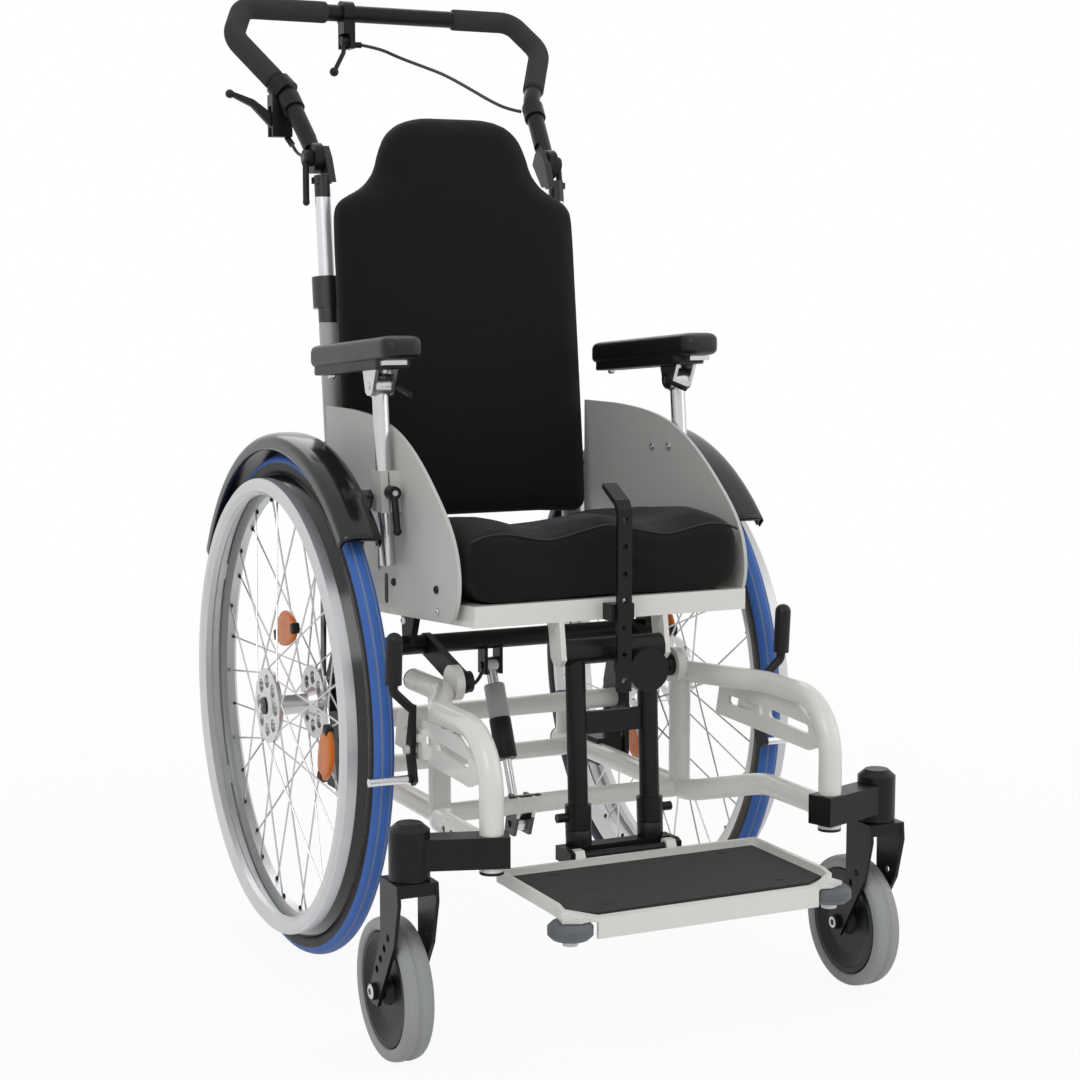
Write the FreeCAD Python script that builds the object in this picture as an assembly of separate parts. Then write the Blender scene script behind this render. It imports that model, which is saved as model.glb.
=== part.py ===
import FreeCAD, Part
import math
import os

# Tilt-in-space wheelchair, millimetres.
# x is to the chair's left and right, the chair faces -y, z is up from the floor.
# Pieces are drawn with y = 0 at the rear axle and moved forward at the end,
# so that the origin lies under the middle of the whole chair.

V = FreeCAD.Vector

# rear wheels
wheel_radius = 296.0
wheel_plane = 242.0
tyre_width = 24.0
tyre_height = 25.5
rim_width = 22.0
rim_depth = 18.5
hub_radius = 16.0
flange_radius = 44.0
flange_thickness = 5.0
flange_inner_offset = -27.0
flange_outer_offset = 35.0
flange_hole_radius = 8.0
flange_hole_circle = 29.0
flange_hole_count = 8
spoke_count = 36
spoke_diameter = 2.2
spoke_lead_deg = 52.0
axle_radius = 6.3
handrim_radius = 268.7
handrim_height = 19.0
handrim_outer = 281.0
handrim_width = 16.0
grip_band_width = 10.0
handrim_tab_count = 6
button_radius = 3.1
button_length = 16.0
button_proud = 4.0

# caster wheels
caster_radius = 74.0
caster_width = 30.0
caster_tyre_height = 15.0
caster_x = 279.5
caster_pivot_y = -449.0
caster_trail = 42.0
caster_bolt_radius = 5.0
fork_gap = 3.5
fork_thickness = 4.0
fork_hole_radius = 4.0
fork_hole_pitch = 17.0
stem_radius = 8.0
barrel_radius = 21.0
barrel_bottom = 200.0
barrel_top = 250.0
arm_height = 32.0
arm_width = 30.0

# base frame
tube_radius = 12.5
tube_wall = 2.0
frame_half_width = 153.0
front_half_width = 201.0
upper_tube_z = 343.0
lower_tube_z = 203.0
lower_front_z = 226.0
front_leg_y = -475.0
front_leg_bottom = 205.0
upper_rear_y = -157.0
lower_rear_y = 90.0
upright_y = -229.0
splay_start_y = -240.0
splay_end_y = -342.0
rear_post_y = 76.0
rear_post_top = 262.0
cross_tube_radius = 11.0
axle_cross_z = 268.0
rear_cross_y = 32.0
accessory_hole_radius = 4.5
accessory_hole_pitch = 20.0
accessory_hole_count = 4
accessory_hole_y = -440.0

# axle plates beside the base frame
axle_plate_inner = 186.0
axle_plate_thickness = 6.0
axle_plate_half_length = 30.0
axle_plate_bottom = 186.0
axle_sleeve_radius = 14.0
axle_sleeve_outer = 206.0
axle_plate_hole_radius = 6.0
axle_plate_hole_pitch = 26.0

# tilt pivot and gas spring
pivot_y = -240.0
pivot_z = 352.0
pivot_bolt_radius = 7.0
lug_inner = 134.5
lug_radius = 20.0
strut_inner = 126.0
strut_outer = 134.0
crossbar_y = -139.0
crossbar_z = 380.0
crossbar_half = 180.0
crossbar_radius = 11.0
spring_x = -50.0
spring_top_y = -139.0
spring_top_z = 350.0
spring_bottom_y = -214.0
spring_bottom_z = 178.0
spring_radius = 11.0
spring_rod_radius = 5.0
spring_length = 112.0
spring_eye_radius = 9.0
spring_eye_half = 7.0
spring_pin_radius = 4.0
spring_open_clearance = 1.5

# seat frame
seat_slope_deg = 4.0
seat_front_y = -345.0
seat_front_top = 453.0
seat_rail_height = 23.0
seat_rail_inner = 146.0
seat_rail_outer = 165.0
seat_rail_rear_y = 35.0
front_bar_depth = 18.0
pan_thickness = 2.0
panel_inner = 173.0
panel_thickness = 4.0
cushion_half_width = 169.0
cushion_rear_y = 24.0
cushion_rest_gap = 1.0

# backrest
recline_y = 62.0
recline_z = 440.0
recline_bolt_radius = 6.0
recline_plate_inner = 140.0
back_lean = 0.1115
back_tube_x = 159.0
back_tube_bottom = 424.0
back_tube_top = 788.0
back_tube_wall = 2.9
collar_radius = 17.0
collar_height = 38.0
collar_offset = 4.2
stem_tube_bottom = 560.0

# push bar
bar_hinge_y = 138.0
bar_hinge_z = 945.0
bar_tube_radius = 11.0
bar_foam_radius = 14.0
bar_top_y = 322.0
bar_top_z = 1146.0
bar_hinge_radius = 19.0
bar_hinge_half = 6.0
bar_bolt_radius = 5.0

# armrests
post_x = 190.0
post_radius = 9.0
post_lean = 0.105
post_base_y = -166.0
post_base_z = 532.0
post_bottom_z = 478.0
hub_z = 678.0
hub_radius = 13.0
holder_bottom = 538.0
holder_top = 584.0
pad_x = 193.0
pad_half_width = 23.5
pad_front_y = -243.0
pad_rear_y = 51.0
pad_thickness = 27.0
pad_bottom_at_hub = 704.0
pad_slope_deg = 4.0
bracket_thickness = 5.0

# leg rest and footplate
leg_x = 44.0
leg_pivot_y = -347.0
leg_pivot_z = 396.0
leg_pin_radius = 8.0
leg_hub_radius = 14.0
leg_hub_half = 60.0
leg_ear_thickness = 6.0
leg_tube_radius = 11.0
leg_tube_bottom = 204.0
leg_inner_radius = 8.5
leg_inner_top = 340.0
leg_inner_bottom = 182.0
leg_bottom_y = -358.0
flip_y = -378.0
flip_z = 178.0
flip_pin_radius = 5.0
tray_rear_y = -392.0
tray_front_y = -568.0
tray_half_width = 158.0
tray_top = 171.0
tray_thickness = 4.0
tray_rim_height = 9.0
apron_half_width = 128.0
apron_bottom = 150.0
mat_thickness = 2.5
roller_x = 151.0
roller_y = -552.0
roller_radius = 23.0
roller_height = 16.0

# parking brakes
brake_pivot_y = -300.0
brake_pivot_z = 296.0
brake_pin_y = -308.0
brake_pin_z = 266.0
brake_pin_radius = 4.5
brake_rail_thickness = 4.0

# footplate details
flip_ear_x = 62.0
mat_half_width = 116.0
mat_front_y = -545.0
roller_pin_radius = 4.0
roller_bottom = 150.0

# push bar details
foam_gap_left = -74.0
foam_gap_right = 101.0
tilt_lever_x = -48.0
back_cushion_half = 167.0
back_cushion_depth = 46.0
back_inset = 2.0
back_rest_gap = 0.6
brake_grip_x = 240.0
brake_pin_end = 268.0
cable_radius = 2.2
tilt_cable_points = [
    (-27.2, 320, 1106), (-2, 320, 1103), (24, 316, 1092), (50, 306, 1082), (78, 290, 1070), (104, 270, 1052),
    (126, 248, 1034), (143, 228, 1022), (155.4, 213, 1018.1),
]
brake_cable_points = [
    (-161.9, 212.2, 964), (-160, 207, 957), (-158, 192, 951), (-158, 175, 949.5), (-159, 159.6, 951),
]
spring_cable_points = [
    (-118.1, -149.4, 372.9), (-119, -158, 365), (-114, -166, 351), (-102, -170, 338), (-86, -166, 332),
    (-72, -156, 337), (-63.3, -148.3, 346.3),
]

# general
fit = 0.05
touch = 0.3
mudguard_gap = 16.0
mudguard_thickness = 3.0
mudguard_width = 44.0
mudguard_front_deg = 44.0
mudguard_rear_deg = 150.0
front_reach = roller_y - roller_radius
rear_reach = bar_top_y + bar_foam_radius
origin_shift = -(front_reach + rear_reach) / 2


def radians(degrees):
    return math.radians(degrees)


def box(x0, x1, y0, y1, z0, z1):
    return Part.makeBox(x1 - x0, y1 - y0, z1 - z0, V(x0, y0, z0))


def rod(start, end, radius):
    direction = end - start
    return Part.makeCylinder(radius, direction.Length, start, direction)


def x_rod(x0, x1, y, z, radius):
    return rod(V(x0, y, z), V(x1, y, z), radius)


def mirrored(shape):
    return shape.mirror(V(0, 0, 0), V(1, 0, 0))


def side_of(shape, side):
    # side is +1 for the shape as drawn and -1 for its mirror image
    return shape if side > 0 else mirrored(shape)


def fused(shapes):
    result = shapes[0]
    for shape in shapes[1:]:
        result = result.fuse(shape)
    return result.removeSplitter()


def polygon(points):
    return Part.Face(Part.makePolygon(points + [points[0]]))


def yz_plate(outline, x0, x1):
    # a flat plate from an outline of (y, z) points
    face = polygon([V(x0, y, z) for y, z in outline])
    return face.extrude(V(x1 - x0, 0, 0))


def slot_cutter(x0, x1, start, end, radius):
    # a round-ended slot along the line between two (y, z) points
    a = V(x0, start[0], start[1])
    b = V(x0, end[0], end[1])
    along = b - a
    along.normalize()
    across = V(0, -along.z, along.y) * radius
    middle = polygon([a + across, b + across, b - across, a - across]).extrude(V(x1 - x0, 0, 0))
    ends = [x_rod(x0, x1, p[0], p[1], radius) for p in (start, end)]
    return middle.fuse(ends)


def filleted_path(points, bends):
    # straight runs joined by tangent arcs, one bend radius for each inner point
    edges = []
    here = points[0]
    for index, bend in enumerate(bends, start=1):
        corner = points[index]
        back = points[index - 1] - corner
        forward = points[index + 1] - corner
        back.normalize()
        forward.normalize()
        turn = math.pi - back.getAngle(forward)
        setback = bend * math.tan(turn / 2)
        arc_start = corner + back * setback
        arc_end = corner + forward * setback
        bisector = back + forward
        bisector.normalize()
        centre = corner + bisector * (bend / math.cos(turn / 2))
        arc_middle = centre - bisector * bend
        edges.append(Part.LineSegment(here, arc_start).toShape())
        edges.append(Part.Arc(arc_start, arc_middle, arc_end).toShape())
        here = arc_end
    edges.append(Part.LineSegment(here, points[-1]).toShape())
    return Part.Wire(edges)


def swept(points, bends, radius):
    path = filleted_path(points, bends)
    direction = points[1] - points[0]
    profile = Part.Wire(Part.Circle(points[0], direction, radius).toShape())
    return path.makePipeShell([profile], True, False)


def revolved_x(outline, y, z):
    # outline of (x, radius) points turned about the X line through y, z
    face = polygon([V(x, y, z + r) for x, r in outline])
    return face.revolve(V(0, y, z), V(1, 0, 0), 360)


def rotated_x(shape, y, z, degrees):
    result = shape.copy()
    result.rotate(V(0, y, z), V(1, 0, 0), degrees)
    return result


def round_pattern(shape, count, y, z):
    return [rotated_x(shape, y, z, 360.0 * i / count) for i in range(count)]


# rear wheel, drawn on the right-hand side
def tyre():
    inner = wheel_radius - tyre_height
    half = tyre_width / 2
    middle = wheel_radius - tyre_height / 2
    y, z = 0.0, wheel_radius

    def at(x, r):
        return V(wheel_plane + x, y, z + r)

    edges = [
        Part.LineSegment(at(-half + 3, inner), at(half - 3, inner)).toShape(),
        Part.Arc(at(half - 3, inner), at(half, middle - 3), at(half - 3, wheel_radius - 5)).toShape(),
        Part.Arc(at(half - 3, wheel_radius - 5), at(0, wheel_radius),
                 at(3 - half, wheel_radius - 5)).toShape(),
        Part.Arc(at(3 - half, wheel_radius - 5), at(-half, middle - 3), at(3 - half, inner)).toShape(),
    ]
    return Part.Face(Part.Wire(edges)).revolve(V(0, y, z), V(1, 0, 0), 360)


def rim():
    outer = wheel_radius - tyre_height
    inner = outer - rim_depth
    half = rim_width / 2
    outline = [(-half, outer), (-half, outer - 7), (-5, inner), (5, inner), (half, outer - 7), (half, outer)]
    return revolved_x([(wheel_plane + x, r) for x, r in outline], 0, wheel_radius)


def hub():
    inner_face = wheel_plane + flange_inner_offset
    outer_face = wheel_plane + flange_outer_offset
    outline = [
        (inner_face - 6, axle_radius + fit),
        (inner_face - 6, hub_radius),
        (inner_face, hub_radius + 3),
        (inner_face, flange_radius),
        (inner_face + flange_thickness, flange_radius),
        (inner_face + flange_thickness, hub_radius + 5),
        (inner_face + 14, hub_radius),
        (outer_face - 14, hub_radius),
        (outer_face - flange_thickness, hub_radius + 5),
        (outer_face - flange_thickness, flange_radius),
        (outer_face, flange_radius),
        (outer_face, hub_radius + 4),
        (outer_face + 3, hub_radius),
        (outer_face + 3, axle_radius + fit),
    ]
    body = revolved_x(outline, 0, wheel_radius)
    hole = x_rod(inner_face - 9, outer_face + 9, 0, wheel_radius + flange_hole_circle, flange_hole_radius)
    return body.cut(round_pattern(hole, flange_hole_count, 0, wheel_radius))


def spoke(index):
    # spokes leave the two flanges in turn and lean forward or back to the rim
    outward = index % 2 == 0
    leading = index % 4 < 2
    offset = flange_inner_offset + flange_thickness / 2
    if outward:
        offset = flange_outer_offset - flange_thickness / 2
    rim_angle = radians(360.0 * index / spoke_count)
    hub_angle = rim_angle + radians(spoke_lead_deg if leading else -spoke_lead_deg)
    start_radius = flange_radius + touch
    end_radius = wheel_radius - tyre_height - rim_depth - touch

    def at(x, radius, angle):
        return V(x, radius * math.cos(angle), wheel_radius + radius * math.sin(angle))

    start = at(wheel_plane + offset, start_radius, hub_angle)
    end = at(wheel_plane + (4 if outward else -4), end_radius, rim_angle)
    along = end - start
    across = along.cross(V(1, 0, 0))
    across.normalize()
    other = along.cross(across)
    other.normalize()
    half = spoke_diameter / 2
    ring = []
    for step in range(6):
        turn = radians(60 * step)
        ring.append(start + across * (half * math.cos(turn)) + other * (half * math.sin(turn)))
    return polygon(ring).extrude(along)


def hub_and_spokes():
    return [hub()] + [spoke(index) for index in range(spoke_count)]


def handrim():
    inner_x = handrim_outer - handrim_width
    low = handrim_radius - handrim_height
    ring = revolved_x([
        (inner_x, low + 5), (inner_x + 4, low), (handrim_outer - 5, low), (handrim_outer, low + 5),
        (handrim_outer, handrim_radius - 5), (handrim_outer - 4, handrim_radius),
        (inner_x, handrim_radius), (inner_x, low + 11), (inner_x + 5, low + 9), (inner_x + 5, low + 7),
    ], 0, wheel_radius)
    band_x = inner_x - grip_band_width
    rim_top = wheel_radius - tyre_height
    band = revolved_x([
        (band_x, rim_top - 8), (inner_x, rim_top - 10), (inner_x, handrim_radius),
        (band_x, rim_top + 4),
    ], 0, wheel_radius)
    rim_face = wheel_plane + rim_width / 2
    tab = box(rim_face, band_x, -12, 12, wheel_radius + rim_top - 7, wheel_radius + rim_top - 1)
    return [ring, band.fuse(round_pattern(tab, handrim_tab_count, 0, wheel_radius))]


def release_button():
    end = wheel_plane + flange_outer_offset + 3 + 2
    return x_rod(end + button_proud - button_length, end + button_proud, 0, wheel_radius, button_radius)


def axle_pin():
    # quick-release pin from the sleeve to the outer end of the hub, bored for its button
    start = axle_plate_inner + axle_plate_thickness
    end = wheel_plane + flange_outer_offset + 3 + 2
    pin = x_rod(start, end, 0, wheel_radius, axle_radius)
    pin = pin.fuse(x_rod(end - 1.7, end, 0, wheel_radius, axle_radius + 4))
    bore_length = button_length + 8
    return pin.cut(x_rod(end - bore_length, end + 1, 0, wheel_radius, button_radius + fit))


def mudguard():
    inner = wheel_radius + mudguard_gap
    outer = inner + mudguard_thickness
    half = mudguard_width / 2
    section = [
        (-half, inner - 9), (-half + 2.5, inner - 9), (-half + 4, inner), (half - 4, inner),
        (half - 2.5, inner - 9), (half, inner - 9), (half - 2, outer), (2 - half, outer),
    ]
    start = radians(180 - mudguard_front_deg)
    points = []
    for x, r in section:
        points.append(V(wheel_plane + x, r * math.cos(start), wheel_radius + r * math.sin(start)))
    sweep_angle = mudguard_rear_deg - mudguard_front_deg
    return polygon(points).revolve(V(0, 0, wheel_radius), V(1, 0, 0), -sweep_angle)


def mudguard_strut(angle_deg):
    # a bent flat strip from the axle plate up the inside of the wheel
    top = wheel_radius + mudguard_gap - 9
    foot_x = axle_plate_inner + axle_plate_thickness
    run_x = foot_x + 16
    guard_x = wheel_plane - mudguard_width / 2
    lower = 26.0
    z = wheel_radius
    strip = 12.0
    foot = box(foot_x, foot_x + 3, -strip / 2, strip / 2, z + 16, z + lower + 8)
    web = box(foot_x, run_x, -strip / 2, strip / 2, z + lower + 5, z + lower + 8)
    rise = box(run_x - 3, run_x, -strip / 2, strip / 2, z + lower + 5, z + top + 8)
    head = box(run_x - 3, guard_x, -strip / 2, strip / 2, z + top + 5, z + top + 8)
    strut = fused([foot, web, rise, head])
    return rotated_x(strut, 0, wheel_radius, 90 - angle_deg)


def mudguard_set():
    parts = [mudguard()]
    for angle in (58.0, 88.0):
        parts.append(mudguard_strut(angle))
    return parts


# caster wheel and its fork, drawn on the right-hand side
def caster_tyre():
    y = caster_pivot_y + caster_trail
    half = caster_width / 2
    inner = caster_radius - caster_tyre_height
    outline = [
        (-half + 2, inner), (-half, inner + 5), (-half, caster_radius - 6), (-half + 4, caster_radius - 1.5),
        (-4, caster_radius), (-2.5, caster_radius - 2), (2.5, caster_radius - 2), (4, caster_radius),
        (half - 4, caster_radius - 1.5), (half, caster_radius - 6), (half, inner + 5), (half - 2, inner),
    ]
    return revolved_x([(caster_x + x, r) for x, r in outline], y, caster_radius)


def caster_rim():
    y = caster_pivot_y + caster_trail
    half = caster_width / 2
    outer = caster_radius - caster_tyre_height
    bore = caster_bolt_radius + fit
    outline = [
        (-half, bore), (-half, 13), (-6, 17), (-6, outer - 12), (-half + 2, outer - 6), (-half + 2, outer),
        (half - 2, outer), (half - 2, outer - 6), (6, outer - 12), (6, 17), (half, 13), (half, bore),
    ]
    body = revolved_x([(caster_x + x, r) for x, r in outline], y, caster_radius)
    hole = x_rod(caster_x - 10, caster_x + 10, y, caster_radius + 32, 9)
    return body.cut(round_pattern(hole, 5, y, caster_radius))


def caster_fork():
    wheel_y = caster_pivot_y + caster_trail
    inner = caster_width / 2 + fork_gap
    crown_bottom = barrel_bottom - 14
    crown_top = barrel_bottom - 1
    outline = [
        (caster_pivot_y - 22, crown_top), (caster_pivot_y - 24, crown_bottom - 6),
        (caster_pivot_y - 12, caster_radius + 60), (wheel_y - 14, caster_radius - 4),
        (wheel_y - 8, caster_radius - 14), (wheel_y + 8, caster_radius - 14),
        (wheel_y + 14, caster_radius - 4), (caster_pivot_y + 24, caster_radius + 62),
        (caster_pivot_y + 24, crown_top),
    ]
    blades = []
    for sign in (-1, 1):
        near = caster_x + sign * inner
        far = caster_x + sign * (inner + fork_thickness)
        blades.append(yz_plate(outline, min(near, far), max(near, far)))
    crown = box(caster_x - inner, caster_x + inner, caster_pivot_y - 22, caster_pivot_y + 24,
                crown_bottom, crown_top)
    stem = rod(V(caster_x, caster_pivot_y, crown_top), V(caster_x, caster_pivot_y, barrel_top - 6),
               stem_radius)
    washer = rod(V(caster_x, caster_pivot_y, crown_top), V(caster_x, caster_pivot_y, barrel_bottom - touch),
                 14)
    fork = fused(blades + [crown, washer, stem])
    wide = inner + fork_thickness + 1
    direction = V(0, wheel_y - caster_pivot_y - 2, -52)
    direction.normalize()
    for step in range(4):
        place = V(0, caster_pivot_y + 3, caster_radius + 66) + direction * (step * fork_hole_pitch)
        fork = fork.cut(x_rod(caster_x - wide, caster_x + wide, place.y, place.z, fork_hole_radius))
    return fork


def caster_bolt():
    # the wheel bolt runs through both fork blades, with a head and a nut
    y = caster_pivot_y + caster_trail
    reach = caster_width / 2 + fork_gap + fork_thickness
    shank = x_rod(caster_x - reach, caster_x + reach, y, caster_radius, caster_bolt_radius)
    head = x_rod(caster_x + reach, caster_x + reach + 4, y, caster_radius, 9)
    nut = x_rod(caster_x - reach - 5, caster_x - reach, y, caster_radius, 8.5)
    spacers = []
    for sign in (-1, 1):
        near = caster_x + sign * (caster_width / 2 + touch)
        far = caster_x + sign * (caster_width / 2 + fork_gap)
        spacers.append(x_rod(min(near, far), max(near, far), y, caster_radius, 8))
    return fused([shank, head, nut] + spacers)


def fork_with_bolt():
    bolt = caster_bolt()
    return [caster_fork().cut(bolt), bolt]


def caster_housing():
    # a short arm clamped round the front leg carries the barrel
    leg = V(front_half_width, front_leg_y, 0)
    pivot = V(caster_x, caster_pivot_y, 0)
    along = pivot - leg
    along.normalize()
    across = V(-along.y, along.x, 0) * (arm_width / 2)
    start = leg - along * (tube_radius + 5)
    corners = [start + across, pivot + across, pivot - across, start - across]
    low = lower_front_z - arm_height / 2
    arm = polygon([V(p.x, p.y, low) for p in corners]).extrude(V(0, 0, arm_height))
    barrel = rod(V(caster_x, caster_pivot_y, barrel_bottom), V(caster_x, caster_pivot_y, barrel_top),
                 barrel_radius)
    cap = Part.makeCone(barrel_radius, barrel_radius - 8, 7, V(caster_x, caster_pivot_y, barrel_top))
    body = fused([arm, barrel, cap])
    leg_cut = rod(V(leg.x, leg.y, low - 5), V(leg.x, leg.y, low + arm_height + 5), tube_radius)
    rail_cut = rod(V(leg.x, leg.y, lower_front_z), V(leg.x, leg.y + 60, lower_front_z), tube_radius + touch)
    bore = rod(V(caster_x, caster_pivot_y, barrel_bottom - 1), V(caster_x, caster_pivot_y, barrel_top - 5),
               stem_radius + fit)
    return body.cut([leg_cut, rail_cut, bore])


# base frame
def side_frame_lines():
    upper = [
        V(frame_half_width, upper_rear_y, upper_tube_z),
        V(frame_half_width, splay_start_y, upper_tube_z),
        V(front_half_width, splay_end_y, upper_tube_z),
        V(front_half_width, front_leg_y, upper_tube_z),
        V(front_half_width, front_leg_y, front_leg_bottom),
    ]
    lower = [
        V(frame_half_width, lower_rear_y, lower_tube_z),
        V(frame_half_width, splay_start_y - 12, lower_tube_z),
        V(front_half_width, splay_end_y, lower_front_z),
        V(front_half_width, front_leg_y, lower_front_z),
    ]
    upright = [V(frame_half_width, upright_y, lower_tube_z), V(frame_half_width, upright_y, upper_tube_z)]
    rear_post = [V(frame_half_width, rear_post_y, lower_tube_z), V(frame_half_width, rear_post_y,
                                                                   rear_post_top)]
    return upper, lower, upright, rear_post


def side_frame():
    upper, lower, upright, rear_post = side_frame_lines()
    outside = fused([
        swept(upper, [60, 60, 62], tube_radius),
        swept(lower, [60, 60], tube_radius),
        swept(upright, [], tube_radius),
        swept(rear_post, [], tube_radius - 1.5),
    ])
    inside = tube_radius - tube_wall
    hollow = [
        swept(upper, [60, 60, 62], inside),
        swept(lower, [60, 60], inside),
        swept(upright, [], inside),
        swept(rear_post, [], inside - 1.5),
    ]
    frame = outside.cut(hollow)
    lug = x_rod(lug_inner, frame_half_width - tube_radius + 4, pivot_y, pivot_z, lug_radius)
    lug = lug.cut(swept(upper, [60, 60, 62], tube_radius))
    lug = lug.cut(swept(upright, [], tube_radius))
    frame = frame.fuse(lug)
    frame = frame.cut(x_rod(lug_inner - 1, frame_half_width - tube_radius + 1, pivot_y, pivot_z,
                            pivot_bolt_radius))
    for index in range(accessory_hole_count):
        y = accessory_hole_y + index * accessory_hole_pitch
        frame = frame.cut(x_rod(front_half_width, front_half_width + 20, y, lower_front_z,
                                accessory_hole_radius))
    return frame


def tube_plugs():
    # rounded plastic plugs in the open tube ends
    inside = tube_radius - tube_wall
    plugs = []
    for y, z, way in ((upper_rear_y, upper_tube_z, 1), (lower_rear_y, lower_tube_z, 1)):
        plugs.append(rod(V(frame_half_width, y, z), V(frame_half_width, y + 3 * way, z), tube_radius))
        plugs.append(rod(V(frame_half_width, y - 12, z), V(frame_half_width, y, z), inside))
    foot = fused([
        rod(V(front_half_width, front_leg_y, front_leg_bottom - 3), V(front_half_width, front_leg_y,
                                                                      front_leg_bottom),
            tube_radius),
        rod(V(front_half_width, front_leg_y, front_leg_bottom), V(front_half_width, front_leg_y,
                                                                  front_leg_bottom + 6),
            inside),
    ])
    post_radius_here = tube_radius - 1.5
    post_cap = rod(V(frame_half_width, rear_post_y, rear_post_top), V(frame_half_width, rear_post_y,
                                                                      rear_post_top + 3),
                   post_radius_here)
    return [fused(plugs[0:2]), fused(plugs[2:4]), foot, post_cap]


def cross_tubes():
    # three tubes join the side frames, and the middle one carries the axle plates
    half = frame_half_width
    side = swept(side_frame_lines()[1], [60, 60], tube_radius)
    other = mirrored(side)
    front = x_rod(-half, half, upright_y, lower_tube_z, cross_tube_radius)
    rear = x_rod(-half, half, rear_cross_y, lower_tube_z, cross_tube_radius)
    posts = [swept(side_frame_lines()[2], [], tube_radius)]
    posts.append(mirrored(posts[0]))
    ends = [side, other] + posts
    front_open = front.cut(x_rod(-half, half, upright_y, lower_tube_z, cross_tube_radius - tube_wall))
    rear_open = rear.cut(x_rod(-half, half, rear_cross_y, lower_tube_z, cross_tube_radius - tube_wall))
    axle = x_rod(-axle_plate_inner, axle_plate_inner, 0, axle_cross_z, cross_tube_radius + 1)
    axle = axle.cut(x_rod(-axle_plate_inner, axle_plate_inner, 0, axle_cross_z,
                          cross_tube_radius + 1 - tube_wall))
    bracket = spring_bracket()
    return [front_open.cut(ends).fuse(bracket), rear_open.cut(ends), axle]


def spring_bracket():
    # two cheeks on the front cross tube hold the lower pin of the gas spring
    y = upright_y
    z = lower_tube_z
    outline = [(y - 16, z + 10), (y + 16, z + 10), (spring_bottom_y + 12, spring_bottom_z - 12),
               (spring_bottom_y - 12, spring_bottom_z - 12)]
    gap = spring_eye_half + 0.5
    cheeks = []
    for sign in (-1, 1):
        near = spring_x + sign * gap
        far = spring_x + sign * (gap + 4)
        cheeks.append(yz_plate(outline, min(near, far), max(near, far)))
    pin = x_rod(spring_x - gap - 6, spring_x + gap + 6, spring_bottom_y, spring_bottom_z, spring_pin_radius)
    bracket = fused(cheeks)
    bracket = bracket.cut(x_rod(spring_x - 30, spring_x + 30, y, z, cross_tube_radius - tube_wall))
    return bracket.fuse(pin)


def axle_plate():
    # a plate with a row of axle heights, a clamp foot round the lower tube, and the axle sleeve
    inner = axle_plate_inner
    outer = inner + axle_plate_thickness
    half = axle_plate_half_length
    top = wheel_radius + axle_sleeve_radius + 14
    outline = [(-half, axle_plate_bottom), (half, axle_plate_bottom), (half, wheel_radius - 10), (18, top),
               (-18, top), (-half, wheel_radius - 10)]
    plate = yz_plate(outline, inner, outer)
    sleeve = x_rod(outer, axle_sleeve_outer, 0, wheel_radius, axle_sleeve_radius)
    foot = box(frame_half_width - 4, inner, -half + 4, half - 4, axle_plate_bottom + 2,
               lower_tube_z + tube_radius + 6)
    lower = swept(side_frame_lines()[1], [60, 60], tube_radius)
    body = fused([plate, sleeve, foot.cut(lower)])
    for step in (1, 2, 3):
        z = wheel_radius - step * axle_plate_hole_pitch
        if step != 1:
            for y in (-15, 15):
                body = body.cut(x_rod(inner, outer + 1, y, z + 4, axle_plate_hole_radius))
    rear = x_rod(-frame_half_width, frame_half_width, rear_cross_y, lower_tube_z, cross_tube_radius)
    axle = axle_pin()
    return [body.cut([rear, axle]), axle]


def brake_rail():
    # a slotted flat plate between the upper and lower tubes
    x0 = front_half_width + 1.0
    low = brake_pivot_z - 15
    high = upper_tube_z - tube_radius - 2
    outline = [(-228, low + 6), (-238, high), (-400, high + 1), (-452, high - 22), (-452, low + 8),
               (-430, low)]
    plate = yz_plate(outline, x0, x0 + brake_rail_thickness)
    for start, end in (((-262, 308), (-330, 308)), ((-352, 308), (-424, 304))):
        plate = plate.cut(slot_cutter(x0 - 1, x0 + 9, start, end, 5))
    # two straps tie the plate to the tube above it
    straps = []
    for y in (-380, -350):
        straps.append(box(x0, x0 + brake_rail_thickness, y - 8, y + 8, high - 2, upper_tube_z))
    body = fused([plate] + straps)
    upper = swept(side_frame_lines()[0], [60, 60, 62], tube_radius)
    return body.cut(upper)


def pivot_bolts():
    # the seat hinges on a shouldered bolt in each frame lug
    head = x_rod(strut_inner - 6, strut_inner - touch, pivot_y, pivot_z, 12)
    shank = x_rod(strut_inner - touch, frame_half_width - tube_radius, pivot_y, pivot_z, pivot_bolt_radius)
    return fused([head, shank])


# seat
def slope_z(y, top):
    return top + (seat_front_y - y) * math.tan(radians(seat_slope_deg))


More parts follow.
